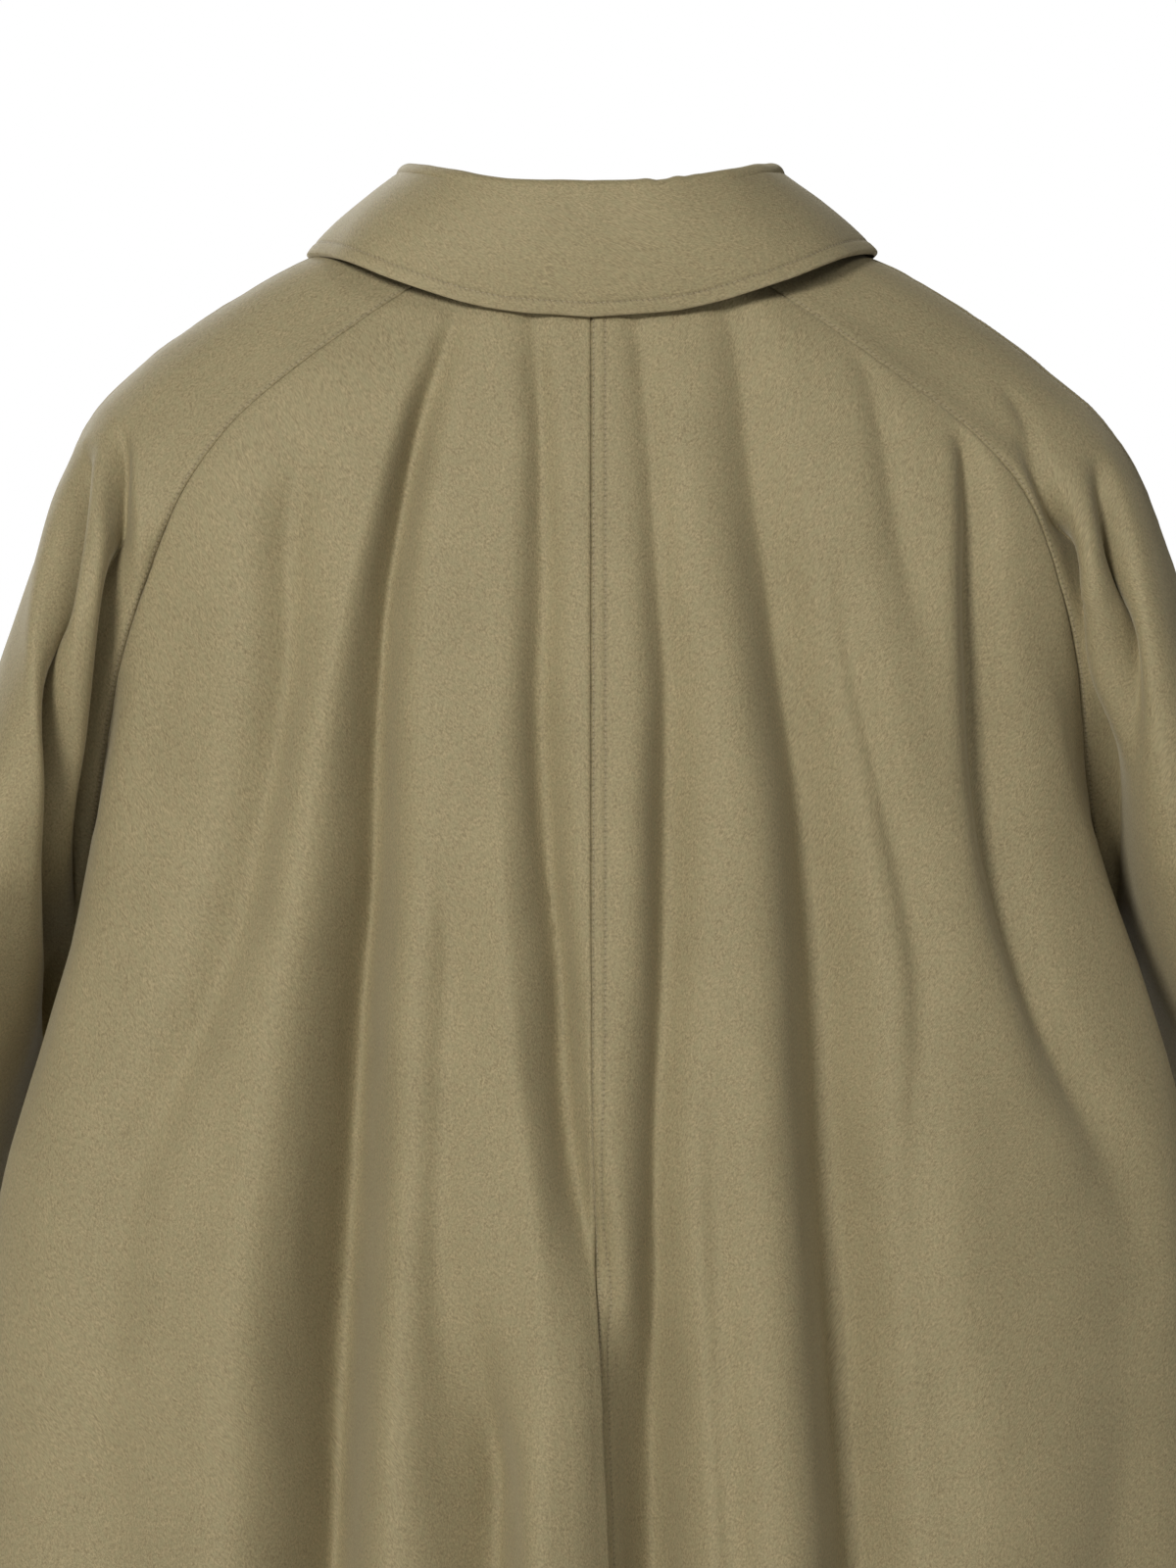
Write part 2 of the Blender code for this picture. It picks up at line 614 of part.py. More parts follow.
def sleeve_fold_shift(front, side, stations, shares):
    """How far the sleeve's folds push the cloth inwards, for each row and column."""
    key = ("front" if front else "back", "left" if side > 0 else "right")
    shift = np.zeros((len(stations), len(shares)))
    fade = smoothstep(shares / SLEEVE_FOLD_FADE) * smoothstep((1 - shares) / SLEEVE_FOLD_FADE)
    for path in SLEEVE_FOLDS[key].values():
        places = column(path, "station", 1)
        at = np.clip(stations, places[0], places[-1])
        depth = smooth(at, places, column(path, "depth"))[:, None]
        middle = smooth(at, places, column(path, "across", 1))[:, None]
        width = smooth(at, places, column(path, "width", 1))[:, None]
        shift += depth * np.exp(-(((shares[None, :] - middle) / width) ** 2)) * fade
    return shift


def grid_normals(grid):
    """Directions through a grid of points, outwards on the wearer's left back."""
    down = np.gradient(grid, axis=0)
    across = np.gradient(grid, axis=1)
    return unit(np.cross(across, down))


def share_seam(first, first_edge, second, second_edge):
    """Gives two panels the same direction through the cloth along the seam that they share."""
    middle = unit(first[first_edge] + second[second_edge])
    first[first_edge] = middle
    second[second_edge] = middle


def set_back(grid, own, edges):
    """Draws the named edges of a panel back from its seams, along the cloth and inwards."""
    moved = grid.copy()
    for name in edges:
        edge, inner = EDGES[name]
        moved[edge] += unit(grid[inner] - grid[edge]) * SEAM_SETBACK
        moved[edge] -= own[edge] * SEAM_SETBACK
    return moved


ALL = slice(None)
EDGES = {
    "top": ((0, ALL), (1, ALL)),
    "start": ((ALL, 0), (ALL, 1)),
    "end": ((ALL, -1), (ALL, -2)),
}


def coat_grids():
    """The outer grids of the eight panels, and the directions through their cloth."""
    outer, own = {}, {}
    for side, word in ((1, "left"), (-1, "right")):
        for front, place in ((False, "back"), (True, "front")):
            outer[f"{place}_{word}"] = body_grid(front, side)
            outer[f"sleeve_{place}_{word}"] = sleeve_grid(front, side)
            flip = 1 if (side > 0) != front else -1
            own[f"{place}_{word}"] = grid_normals(outer[f"{place}_{word}"]) * flip
            own[f"sleeve_{place}_{word}"] = grid_normals(outer[f"sleeve_{place}_{word}"]) * flip
    through = {name: value.copy() for name, value in own.items()}
    above, below = slice(0, RAGLAN_ROWS), slice(RAGLAN_ROWS - 1, None)
    share_seam(through["back_left"], (ALL, 0), through["back_right"], (ALL, 0))
    for word in ("left", "right"):
        back, front = through[f"back_{word}"], through[f"front_{word}"]
        sleeve_back, sleeve_front = through[f"sleeve_back_{word}"], through[f"sleeve_front_{word}"]
        share_seam(sleeve_back, (ALL, -1), sleeve_front, (ALL, -1))
        share_seam(back, (below, -1), front, (below, -1))
        share_seam(sleeve_back, (below, 0), sleeve_front, (below, 0))
        share_seam(back, (above, -1), sleeve_back, (above, 0))
        share_seam(front, (above, -1), sleeve_front, (above, 0))
        side = 1 if word == "left" else -1
        for grid, edge, way in ((back, -1, 1), (front, -1, 1), (sleeve_back, 0, -1), (sleeve_front, 0, -1)):
            grid[RAGLAN_ROWS - 1, edge] = (way * side * UNDERARM_INWARD, 0, -UNDERARM_UP)
    return outer, own, through


def wall_mesh(name, outer, inner):
    """A closed mesh between two grids, with its faces pointing out."""
    rows, columns = outer.shape[:2]
    work = bmesh.new()
    skins = [[[work.verts.new(p) for p in row] for row in grid] for grid in (outer, inner)]
    for skin, order in ((skins[0], 1), (skins[1], -1)):
        for r in range(rows - 1):
            for c in range(columns - 1):
                work.faces.new((skin[r][c], skin[r + 1][c], skin[r + 1][c + 1], skin[r][c + 1])[::order])
    rim = [(0, c) for c in range(columns)] + [(r, columns - 1) for r in range(1, rows)]
    rim += [(rows - 1, c) for c in range(columns - 2, -1, -1)] + [(r, 0) for r in range(rows - 2, 0, -1)]
    for (r0, c0), (r1, c1) in zip(rim, rim[1:] + rim[:1]):
        work.faces.new((skins[0][r0][c0], skins[0][r1][c1], skins[1][r1][c1], skins[1][r0][c0]))
    bmesh.ops.triangulate(work, faces=work.faces[:])
    bmesh.ops.recalc_face_normals(work, faces=work.faces[:])
    if work.calc_volume(signed=True) < 0:
        bmesh.ops.reverse_faces(work, faces=work.faces[:])
    mesh = bpy.data.meshes.new(name)
    work.to_mesh(mesh)
    work.free()
    mesh.shade_smooth()
    mesh.set_sharp_from_angle(angle=math.radians(50))
    return mesh


def add_object(name, mesh, material):
    """Puts a mesh in the scene as a named object with its material."""
    thing = bpy.data.objects.new(name, mesh)
    mesh.materials.append(material)
    bpy.context.scene.collection.objects.link(thing)
    return thing


def make_material(name, colour, roughness):
    """A plain material."""
    material = bpy.data.materials.new(name)
    material.use_nodes = True
    shader = material.node_tree.nodes["Principled BSDF"]
    shader.inputs["Base Color"].default_value = (*colour, 1)
    shader.inputs["Roughness"].default_value = roughness
    shader.inputs["Metallic"].default_value = 0
    return material


def make_panels(cloth):
    """Builds the eight cloth panels of body and sleeves, and gives their outer grids."""
    outer, own, through = coat_grids()
    for name, grid in outer.items():
        edges = ["top", "start", "end"]
        if name.startswith("front"):
            edges = ["top", "end"]
        inner = grid - through[name] * CLOTH_WALL
        shown = set_back(grid, own[name], edges)
        hidden = inner + (shown - grid)
        add_object(name, wall_mesh(name, shown, hidden), cloth)
    return outer


def collar_point(turn, line):
    """Points of the collar's fold or outer edge, at turns from -180 to 180 degrees."""
    turns = column(COLLAR, "turn", 1)
    x, y, z = (smooth(np.abs(turn), turns, column(COLLAR, f"{line}_{axis}")) for axis in "xyz")
    return np.stack([x * np.where(turn < 0, -1, 1), y, z], axis=-1)


def collar_turns():
    """The turns of the collar's sections, from the right end round the back to the left end."""
    half = np.linspace(0, 180, COLLAR_HALF_STATIONS)
    return np.concatenate([-half[:0:-1], half])


def outward(line):
    """Level directions out of a line that runs round the neck from right to left."""
    along = np.gradient(line, axis=0)
    return unit(np.stack([-along[:, 1], along[:, 0], np.zeros(len(line))], axis=-1))


def leaf_grid():
    """The middle of the leaf's wall: inside seam, roll over the fold, and fall to the outer edge."""
    turns = collar_turns()
    fold, edge = collar_point(turns, "fold"), collar_point(turns, "edge")
    out, up = outward(fold), np.array([0, 0, 1.0])
    centre = fold - up * FOLD_ROLL
    columns = [centre - out * FOLD_ROLL - up * (LEAF_INSIDE_DROP - FOLD_ROLL)]
    for angle in np.radians(ROLL_ANGLES):
        columns.append(centre + FOLD_ROLL * (math.sin(angle) * out + math.cos(angle) * up))
    start = columns[-1]
    for share in LEAF_SHARES:
        bulge = LEAF_BULGE * math.sin(math.pi * share)
        columns.append(start + (edge - start) * share + out * bulge)
    return np.stack(columns, axis=1)


def stand_grid():
    """The outer face of the stand, from the neck seam to the leaf's inside seam."""
    turns = np.clip(collar_turns(), -STAND_END_TURN, STAND_END_TURN)
    fold = collar_point(turns, "fold")
    out, up = outward(fold), np.array([0, 0, 1.0])
    top = fold - out * (FOLD_ROLL - COLLAR_WALL / 2) - up * (LEAF_INSIDE_DROP + LAYER_GAP)
    bottom = neck_point(turns) + up * LAYER_GAP
    shares = np.linspace(0, 1, STAND_COLUMNS)
    return np.stack([bottom + (top - bottom) * share for share in shares], axis=1), out


def make_collar(cloth):
    """The collar's leaf and stand."""
    middle = leaf_grid()
    normals = grid_normals(middle)
    half = COLLAR_WALL / 2
    leaf = wall_mesh("collar_leaf", middle + normals * half, middle - normals * half)
    add_object("collar_leaf", leaf, cloth)
    face, out = stand_grid()
    back = face - out[:, None, :] * CLOTH_WALL
    add_object("collar_stand", wall_mesh("collar_stand", face, back), cloth)


def button_mesh():
    """A dished coat button with four holes, its back face at z = 0."""
    profile = [
        (0, 0),
        (BUTTON_RADIUS - BUTTON_EDGE, 0),
        (BUTTON_RADIUS, BUTTON_EDGE),
        (BUTTON_RADIUS, BUTTON_THICKNESS - BUTTON_EDGE),
        (BUTTON_RADIUS - BUTTON_EDGE, BUTTON_THICKNESS),
        (BUTTON_RADIUS - BUTTON_RIM, BUTTON_THICKNESS),
        (BUTTON_RADIUS - BUTTON_RIM - BUTTON_DISH, BUTTON_THICKNESS - BUTTON_DISH),
        (0, BUTTON_THICKNESS - BUTTON_DISH),
    ]
    work = bmesh.new()
    verts = [work.verts.new((r, 0, z)) for r, z in profile]
    edges = [work.edges.new(pair) for pair in zip(verts, verts[1:])]
    bmesh.ops.spin(
        work, geom=verts + edges, cent=(0, 0, 0), axis=(0, 0, 1), angle=math.tau,
        steps=BUTTON_SIDES, use_merge=True,
    )
    bmesh.ops.remove_doubles(work, verts=work.verts[:], dist=1e-6)
    bmesh.ops.recalc_face_normals(work, faces=work.faces[:])
    disc = bpy.data.meshes.new("button_disc")
    work.to_mesh(disc)
    work.free()
    holes = bmesh.new()
    for x in (-1, 1):
        for y in (-1, 1):
            place = Matrix.Translation((x * BUTTON_HOLE_OFFSET, y * BUTTON_HOLE_OFFSET, BUTTON_THICKNESS / 2))
            bmesh.ops.create_cone(
                holes, cap_ends=True, segments=BUTTON_HOLE_SIDES, radius1=BUTTON_HOLE_RADIUS,
                radius2=BUTTON_HOLE_RADIUS, depth=2 * BUTTON_THICKNESS, matrix=place,
            )
    cutter_mesh = bpy.data.meshes.new("button_holes")
    holes.to_mesh(cutter_mesh)
    holes.free()
    blank = bpy.data.objects.new("button_blank", disc)
    cutter = bpy.data.objects.new("button_holes", cutter_mesh)
    for thing in (blank, cutter):
        bpy.context.scene.collection.objects.link(thing)
    cut = blank.modifiers.new("holes", "BOOLEAN")
    cut.object = cutter
    cut.operation = "DIFFERENCE"
    bpy.context.view_layer.update()
    ready = blank.evaluated_get(bpy.context.evaluated_depsgraph_get())
    mesh = bpy.data.meshes.new_from_object(ready)
    mesh.name = "button"
    for thing in (blank, cutter):
        bpy.data.objects.remove(thing)
    mesh.shade_smooth()
    mesh.set_sharp_from_angle(angle=math.radians(35))
    return mesh


def make_buttons(horn, centre_line):
    """Five buttons down the centre front, each square to the cloth under it."""
    mesh = button_mesh()
    mesh.materials.append(horn)
    depth = centre_line[::-1, 1]
    height_of = centre_line[::-1, 2]
    for number, height in enumerate(BUTTON_HEIGHTS, start=1):
        here, above, below = (
            float(np.interp(height + step, height_of, depth)) for step in (0, BUTTON_RADIUS, -BUTTON_RADIUS)
        )
        out = Vector((0, -1, (above - below) / (2 * BUTTON_RADIUS))).normalized()
        button = bpy.data.objects.new(f"button_{number}", mesh)
        button.location = Vector((0, min(here, (above + below) / 2), height)) + out * BUTTON_LIFT
        button.rotation_euler = out.to_track_quat("Z", "Y").to_euler()
        bpy.context.scene.collection.objects.link(button)


def main():
    for thing in list(bpy.data.objects):
        bpy.data.objects.remove(thing)
    cloth = make_material("coat_cloth", CLOTH_COLOUR, 0.85)
    horn = make_material("button_horn", BUTTON_COLOUR, 0.35)
    panels = make_panels(cloth)
    make_collar(cloth)
    make_buttons(horn, panels["front_right"][:, CENTRE_FRONT_COLUMN])


main()
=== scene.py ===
"""A balmacaan coat, dressed: draped gabardine shells, its sewing, a turned-down collar and horn buttons.

The coat faces -Y and its wearer's left is +X. The camera looks at its back from +Y. Tables are in
millimetres and degrees, and meshes are in metres. Each cloth piece is a thin closed shell on the
form of its solid: a fine outer skin and a plainer inner one.
"""

import logging
import math
from dataclasses import dataclass, field
from enum import Enum
from typing import NamedTuple

import bmesh
import bpy
import numpy as np
from mathutils import Matrix, Vector
from mathutils.bvhtree import BVHTree


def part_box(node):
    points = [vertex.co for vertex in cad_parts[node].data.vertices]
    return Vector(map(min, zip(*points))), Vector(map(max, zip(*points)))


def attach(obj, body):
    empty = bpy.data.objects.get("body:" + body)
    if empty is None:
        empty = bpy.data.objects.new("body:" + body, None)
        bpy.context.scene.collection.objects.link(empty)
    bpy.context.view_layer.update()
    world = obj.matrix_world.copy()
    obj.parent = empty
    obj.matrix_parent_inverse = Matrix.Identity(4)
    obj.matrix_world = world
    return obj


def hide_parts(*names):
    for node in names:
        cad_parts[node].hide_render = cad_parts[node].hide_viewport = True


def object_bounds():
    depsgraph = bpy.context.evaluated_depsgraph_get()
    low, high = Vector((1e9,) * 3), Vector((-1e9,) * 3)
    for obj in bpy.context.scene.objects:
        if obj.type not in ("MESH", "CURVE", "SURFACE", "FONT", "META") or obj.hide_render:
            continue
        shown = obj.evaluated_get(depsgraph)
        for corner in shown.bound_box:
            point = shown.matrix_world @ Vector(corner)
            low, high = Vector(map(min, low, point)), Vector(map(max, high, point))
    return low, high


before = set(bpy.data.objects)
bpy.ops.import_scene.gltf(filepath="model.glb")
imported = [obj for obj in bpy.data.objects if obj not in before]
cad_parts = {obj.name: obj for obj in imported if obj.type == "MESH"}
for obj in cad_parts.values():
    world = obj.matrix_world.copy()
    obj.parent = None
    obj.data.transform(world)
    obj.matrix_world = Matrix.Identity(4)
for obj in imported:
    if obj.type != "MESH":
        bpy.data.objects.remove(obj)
CAD_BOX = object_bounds()

MM = 0.001
LOG = logging.getLogger("coat")
UP = np.array([0, 0, 1.0])


# Words and rows of the tables


class Way(Enum):
    """A way to face, with its word in the names of pieces."""

    @property
    def word(self) -> str:
        """The way's name in the names of pieces."""
        return self.name.lower()


class Side(Way):
    """A side of the wearer."""

    LEFT = 1
    RIGHT = -1


class Half(Way):
    """The back or front half of the coat, by the way it faces along Y."""

    BACK = 1
    FRONT = -1


class Finish(Enum):
    """What an edge of a panel looks like from outside."""

    PLAIN = "the flat side of a seam"
    RIDGE = "a seam turned under this side, with one row of stitches"
    WELT = "a seam turned under this side, with two rows of stitches"
    LAP = "a seam whose cloth laps over its neighbour lower down"
    FREE = "a turned edge that hangs free"
    STITCHED_FREE = "a turned edge with a row of stitches along it"
    INSIDE = "an edge that another piece covers"


class BodySection(NamedTuple):
    """A level section of the body: half width, and reach at the centre back and front."""

    z: float
    half_width: float
    back: float
    front: float
    side_y: float


class NeckPoint(NamedTuple):
    """A point of the neck seam, turned from the centre back."""

    turn: float
    x: float
    y: float
    z: float


class SeamPoint(NamedTuple):
    """A point of a raglan seam, and how far the body has turned away from flat there."""

    station: float
    x: float
    y: float
    z: float
    turn: float


class ArmPoint(NamedTuple):
    """The top and under lines of the arm at a station, and how its back and front bow out."""

    station: float
    over_x: float
    over_y: float
    over_z: float
    under_x: float
    under_y: float
    under_z: float
    seam_bow: float
    over_bow: float
    lean: float


class LeanPoint(NamedTuple):
    """How far the cloth hangs to the wearer's right of even at a height."""

    z: float
    out: float


class FoldPoint(NamedTuple):
    """A point of a fold's path: its depth, and its widths on the wearer's left and right of it."""

    z: float
    x: float
    depth: float
    left: float
    right: float


class CollarPoint(NamedTuple):
    """Where the collar's fold and the leaf's outer edge run at a turn."""

    turn: float
    fold_x: float
    fold_y: float
    fold_z: float
    edge_x: float
    edge_y: float
    edge_z: float


def table(kind: type, *rows: tuple) -> tuple:
    """The rows of a table, each with its values named as its kind says."""
    return tuple(kind(*row) for row in rows)


def path(*rows: tuple) -> tuple:
    """The points of one fold's path, from the top down: height, x, depth, left and right widths."""
    return table(FoldPoint, *rows)


# Small sums


def column(rows: tuple, name: str, size: float = MM) -> np.ndarray:
    """One column of a table, in metres unless one unit of it is given another size."""
    return np.array([getattr(row, name) for row in rows], float) * size


def smooth(at: np.ndarray, places: np.ndarray, values: np.ndarray) -> np.ndarray:
    """A smooth curve through a table's values, level beyond its ends.

    Args:
        at: Where to read the curve.
        places: Where the values stand, in rising order.
        values: The values there.

    Returns:
        The curve's values.
    """
    at = np.clip(np.asarray(at, float), places[0], places[-1])
    step = np.diff(places)
    slope = np.diff(values) / step
    tangent = np.empty(len(values))
    tangent[0], tangent[-1] = slope[0], slope[-1]
    tangent[1:-1] = (slope[:-1] * step[1:] + slope[1:] * step[:-1]) / (step[:-1] + step[1:])
    i = np.clip(np.searchsorted(places, at, side="right") - 1, 0, len(step) - 1)
    t = (at - places[i]) / step[i]
    return (
        (2 * t**3 - 3 * t**2 + 1) * values[i]
        + (t**3 - 2 * t**2 + t) * step[i] * tangent[i]
        + (3 * t**2 - 2 * t**3) * values[i + 1]
        + (t**3 - t**2) * step[i] * tangent[i + 1]
    )


def smoothstep(t: np.ndarray) -> np.ndarray:
    """0 below 0, 1 above 1, and a smooth rise between."""
    t = np.clip(t, 0, 1)
    return t * t * (3 - 2 * t)


def unit(vector: np.ndarray) -> np.ndarray:
    """Vectors of length 1 in the same directions."""
    return vector / np.maximum(np.linalg.norm(vector, axis=-1, keepdims=True), 1e-12)


def bezier(a: np.ndarray, b: np.ndarray, c: np.ndarray, d: np.ndarray, t: np.ndarray) -> np.ndarray:
    """Points of a cubic Bezier curve from a to d, with handles b and c, at shares t of the way."""
    t = np.asarray(t)[:, None]
    return (1 - t) ** 3 * a + 3 * (1 - t) ** 2 * t * b + 3 * (1 - t) * t**2 * c + t**3 * d


def grid_normals(grid: np.ndarray) -> np.ndarray:
    """Directions through a grid of points, outwards on the wearer's left back."""
    return unit(np.cross(np.gradient(grid, axis=1), np.gradient(grid, axis=0)))


def lengths(points: np.ndarray) -> np.ndarray:
    """How far along its line each point is, from the first axis's start."""
    steps = np.linalg.norm(np.diff(points, axis=0), axis=-1)
    return np.concatenate([np.zeros((1, *steps.shape[1:])), np.cumsum(steps, axis=0)])


def read_line(at: np.ndarray, places: np.ndarray, values: np.ndarray) -> np.ndarray:
    """Points or directions of a line at places along it."""
    return np.stack([np.interp(at, places, values[:, i]) for i in range(3)], axis=-1)


def ripple(u: np.ndarray, v: np.ndarray, seed: int) -> np.ndarray:
    """Smooth unevenness between -1 and 1, about one hump to each unit square.

    Args:
        u: Places across.
        v: Places along.
        seed: Which unevenness.

    Returns:
        A height for each place.
    """
    size = 64
    values = np.random.default_rng(seed).uniform(-1, 1, (size, size))
    iu, iv = np.floor(u).astype(int), np.floor(v).astype(int)
    fu, fv = smoothstep(u - iu), smoothstep(v - iv)
    a, b = iu % size, (iu + 1) % size
    c, d = iv % size, (iv + 1) % size
    near = values[a, c] * (1 - fu) + values[b, c] * fu
    far = values[a, d] * (1 - fu) + values[b, d] * fu
    return near * (1 - fv) + far * fv


# The form of the coat

BODY_SECTIONS = table(
    BodySection,
    (12, 100, 69, 66, 0), (0, 120, 74, 69, 0), (-20, 150, 82, 73, 0), (-50, 190, 93, 78, 0),
    (-75, 215, 101, 82, 0), (-110, 235, 111, 98, 0), (-150, 250, 121, 113, 0), (-210, 260, 130, 127, 0),
    (-300, 264, 135, 137, 0), (-345, 273, 138, 140, 0), (-395, 287, 142, 143, 0), (-460, 306, 147, 147, 0),
    (-560, 324, 155, 153, 1), (-720, 343, 168, 163, 2), (-900, 362, 182, 174, 4), (-1080, 380, 196, 186, 5),
)

NECK_SEAM = table(
    NeckPoint,
    (0, 0, 74, 0), (25, 38, 70, 2), (50, 68, 52, 9), (75, 84, 22, 18), (90, 88, -4, 22), (115, 84, -34, 8),
    (140, 66, -58, -24), (160, 38, -75, -54), (180, 0, -82, -75),
)

RAGLAN_SEAMS = {
    Half.BACK: table(
        SeamPoint,
        (0.00, 64.6, 54.7, 7.9, 14), (0.15, 92, 64, -9, 17), (0.30, 124, 71, -31, 20),
        (0.45, 159, 77, -57, 25), (0.60, 192, 81, -88, 28), (0.72, 214, 81, -121, 33),
        (0.82, 229, 75, -158, 42), (0.91, 248, 54, -214, 62), (1.00, 264, 0, -300, 90),
    ),
    Half.FRONT: table(
        SeamPoint,
        (0.00, 80.7, -40.1, 0.8, 24), (0.15, 98, -59, -18, 24), (0.30, 124, -74, -42, 25),
        (0.45, 154, -86, -70, 28), (0.60, 182, -94, -102, 33), (0.72, 204, -96, -136, 41),
        (0.82, 221, -90, -172, 54), (0.91, 245, -66, -224, 75), (1.00, 264, 0, -300, 90),
    ),
}

ARM_LINE = table(
    ArmPoint,
    (0.00, 88, -4, 22, 264, 0, -300, 26, 26, 0), (0.15, 124, -3, 17, 264, 0, -300, 30, 32, 0),
    (0.30, 160, -2, 4, 264, 0, -300, 32, 38, 0), (0.45, 202, -1, -21, 264, 0, -300, 34, 44, 0),
    (0.60, 242, 0, -51, 264, 0, -300, 36, 50, 0), (0.72, 270, 0, -84, 264, 0, -300, 38, 58, 0),
    (0.82, 289, -2, -138, 264, 0, -300, 50, 72, 0), (0.91, 314, -8, -207, 264, 0, -300, 76, 92, 3),
    (1.00, 345, -16, -304, 264, 0, -300, 104, 110, 6), (1.12, 356, -24, -340, 269, -30, -334, 122, 116, 8),
    (1.25, 368, -36, -378, 276, -56, -368, 132, 118, 10),
    (1.50, 392, -62, -462, 296, -92, -446, 126, 112, 12),
    (2.00, 430, -120, -622, 328, -140, -602, 86, 86, 14),
)

RIGHT_LEAN = table(
    LeanPoint,
    (-50, 0), (-75, 5), (-110, 12), (-160, 13), (-210, 8), (-260, 4), (-310, 4), (-360, 9), (-430, 12),
    (-520, 9), (-700, 6),
)

CENTRE_SWAY = table(
    LeanPoint,
    (-440, 0), (-498, 1.5), (-566, 5), (-610, 6.5), (-676, 9), (-880, 6), (-1080, 4),
)

BODY_FOLDS = {
    Half.BACK: {
        "left_main": path(
            (-12, 67, 0, 6, 8), (-45, 77.5, 7, 5.5, 9), (-70, 86, 12, 5.5, 10), (-95, 93, 16, 5.5, 10.5),
            (-120, 98.5, 19, 6, 11), (-170, 108.5, 24, 7, 13), (-220, 114.5, 28, 9, 15),
            (-270, 119, 32, 11, 18), (-320, 122, 39.6, 12.1, 20), (-370, 127.5, 46.2, 13.5, 20),
            (-470, 134, 52.8, 15.8, 24), (-570, 141, 59.4, 18.6, 24), (-670, 144.5, 59.4, 18.6, 25),
            (-840, 150, 42, 27, 30), (-1080, 160, 34, 34, 36),
        ),
        "left_inner": path(
            (-12, 34, 0, 6, 9), (-34, 29.5, 3.4, 6, 8), (-95, 26.5, 8, 6, 9), (-170, 25.5, 11, 7.5, 11),
            (-220, 27, 13.5, 7.5, 11), (-270, 25.5, 16, 8, 11), (-320, 22, 19, 8.5, 10),
            (-370, 17, 20, 9.5, 9), (-420, 15, 20, 10, 10), (-470, 9.5, 19, 10, 12),
            (-520, -0.5, 16, 11, 13), (-570, -8, 14, 13, 14), (-640, -10, 14, 16, 14),
            (-740, -10, 12, 20, 16), (-900, -8, 0, 22, 18),
        ),
        "right_inner": path(
            (-12, -21, 0, 7, 9), (-34, -24.5, 3.2, 7, 9), (-95, -30, 6, 7, 11), (-170, -35, 9, 7, 13),
            (-220, -39, 13, 7.5, 14), (-270, -39.5, 17, 8, 14), (-370, -37, 19, 8.5, 15),
            (-420, -34, 20, 9, 16), (-470, -32, 22, 9.5, 16), (-520, -31, 28, 11, 17),
            (-570, -28, 38, 15, 20), (-670, -25.5, 44, 19, 24), (-840, -23, 34, 23, 27),
            (-1080, -20, 28, 26, 30),
        ),
        "left_lower": path(
            (-500, 66, 0, 16, 12), (-540, 63, 8, 20, 12), (-575, 60, 18, 23, 12), (-624, 53, 34, 25, 10),
            (-660, 55, 35, 25, 12), (-760, 60, 32, 25, 18), (-1080, 66, 32, 28, 26),
        ),
        "right_main": path(
            (-8, -65.5, 0, 10, 14), (-28, -72.5, 5, 11, 16), (-95, -82, 13, 13, 20),
            (-120, -85, 15, 13.5, 22), (-170, -93, 20, 13, 24), (-220, -101.5, 24, 13, 26),
            (-270, -110, 28, 13.5, 27), (-320, -115.5, 32, 14, 27), (-370, -119.5, 34, 14.5, 27),
            (-470, -124.5, 37, 14.5, 27), (-570, -131.5, 40, 15.5, 30), (-670, -139, 41, 17, 31),
            (-840, -145, 34, 24, 34), (-1080, -153, 30, 32, 38),
        ),
        "right_outer": path(
            (-80, -191, 0, 5, 8), (-95, -194.5, 6, 5, 9), (-120, -197, 11, 5.5, 10),
            (-170, -198, 14, 6, 12), (-220, -201.5, 15.5, 6.5, 14), (-270, -206.5, 16, 8, 15),
            (-320, -214.5, 16, 9, 15), (-370, -228, 15, 10, 14), (-420, -249, 11, 12, 14),
            (-470, -273, 7, 14, 15), (-560, -280, 4, 18, 20), (-700, -272, 10, 24, 24),
            (-1080, -272, 26, 32, 30),
        ),
        "left_outer": path(
            (-85, 148, 0, 10, 15), (-130, 157, 8, 10, 15), (-220, 162, 13, 11, 16), (-270, 171, 13, 12, 17),
            (-370, 196, 12, 13, 18), (-470, 238, 10, 15, 20), (-560, 252, 8, 19, 24),
            (-700, 257, 11, 26, 28), (-1080, 267, 24, 34, 30),
        ),
    },
    Half.FRONT: {
        "left_main": path(
            (-150, 104, 0, 17, 17), (-260, 112, 7.8, 20.4, 18.7), (-460, 128, 15.6, 25.5, 22.1),
            (-760, 140, 24.7, 30.6, 27.2), (-1080, 150, 35.1, 35.7, 32.3),
        ),
        "right_main": path(
            (-170, -100, 0, 17, 17), (-280, -108, 7.8, 18.7, 20.4), (-460, -120, 14.3, 22.1, 25.5),
            (-760, -134, 23.4, 27.2, 30.6), (-1080, -146, 33.8, 32.3, 35.7),
        ),
        "left_outer": path(
            (-240, 196, 0, 17, 20.4), (-340, 206, 6.5, 18.7, 22.1), (-520, 232, 11.7, 22.1, 25.5),
            (-1080, 262, 28.6, 30.6, 32.3),
        ),
        "right_outer": path(
            (-260, -190, 0, 20.4, 17), (-360, -204, 7.8, 22.1, 18.7), (-540, -234, 11.7, 25.5, 22.1),
            (-1080, -266, 29.9, 32.3, 30.6),
        ),
    },
}

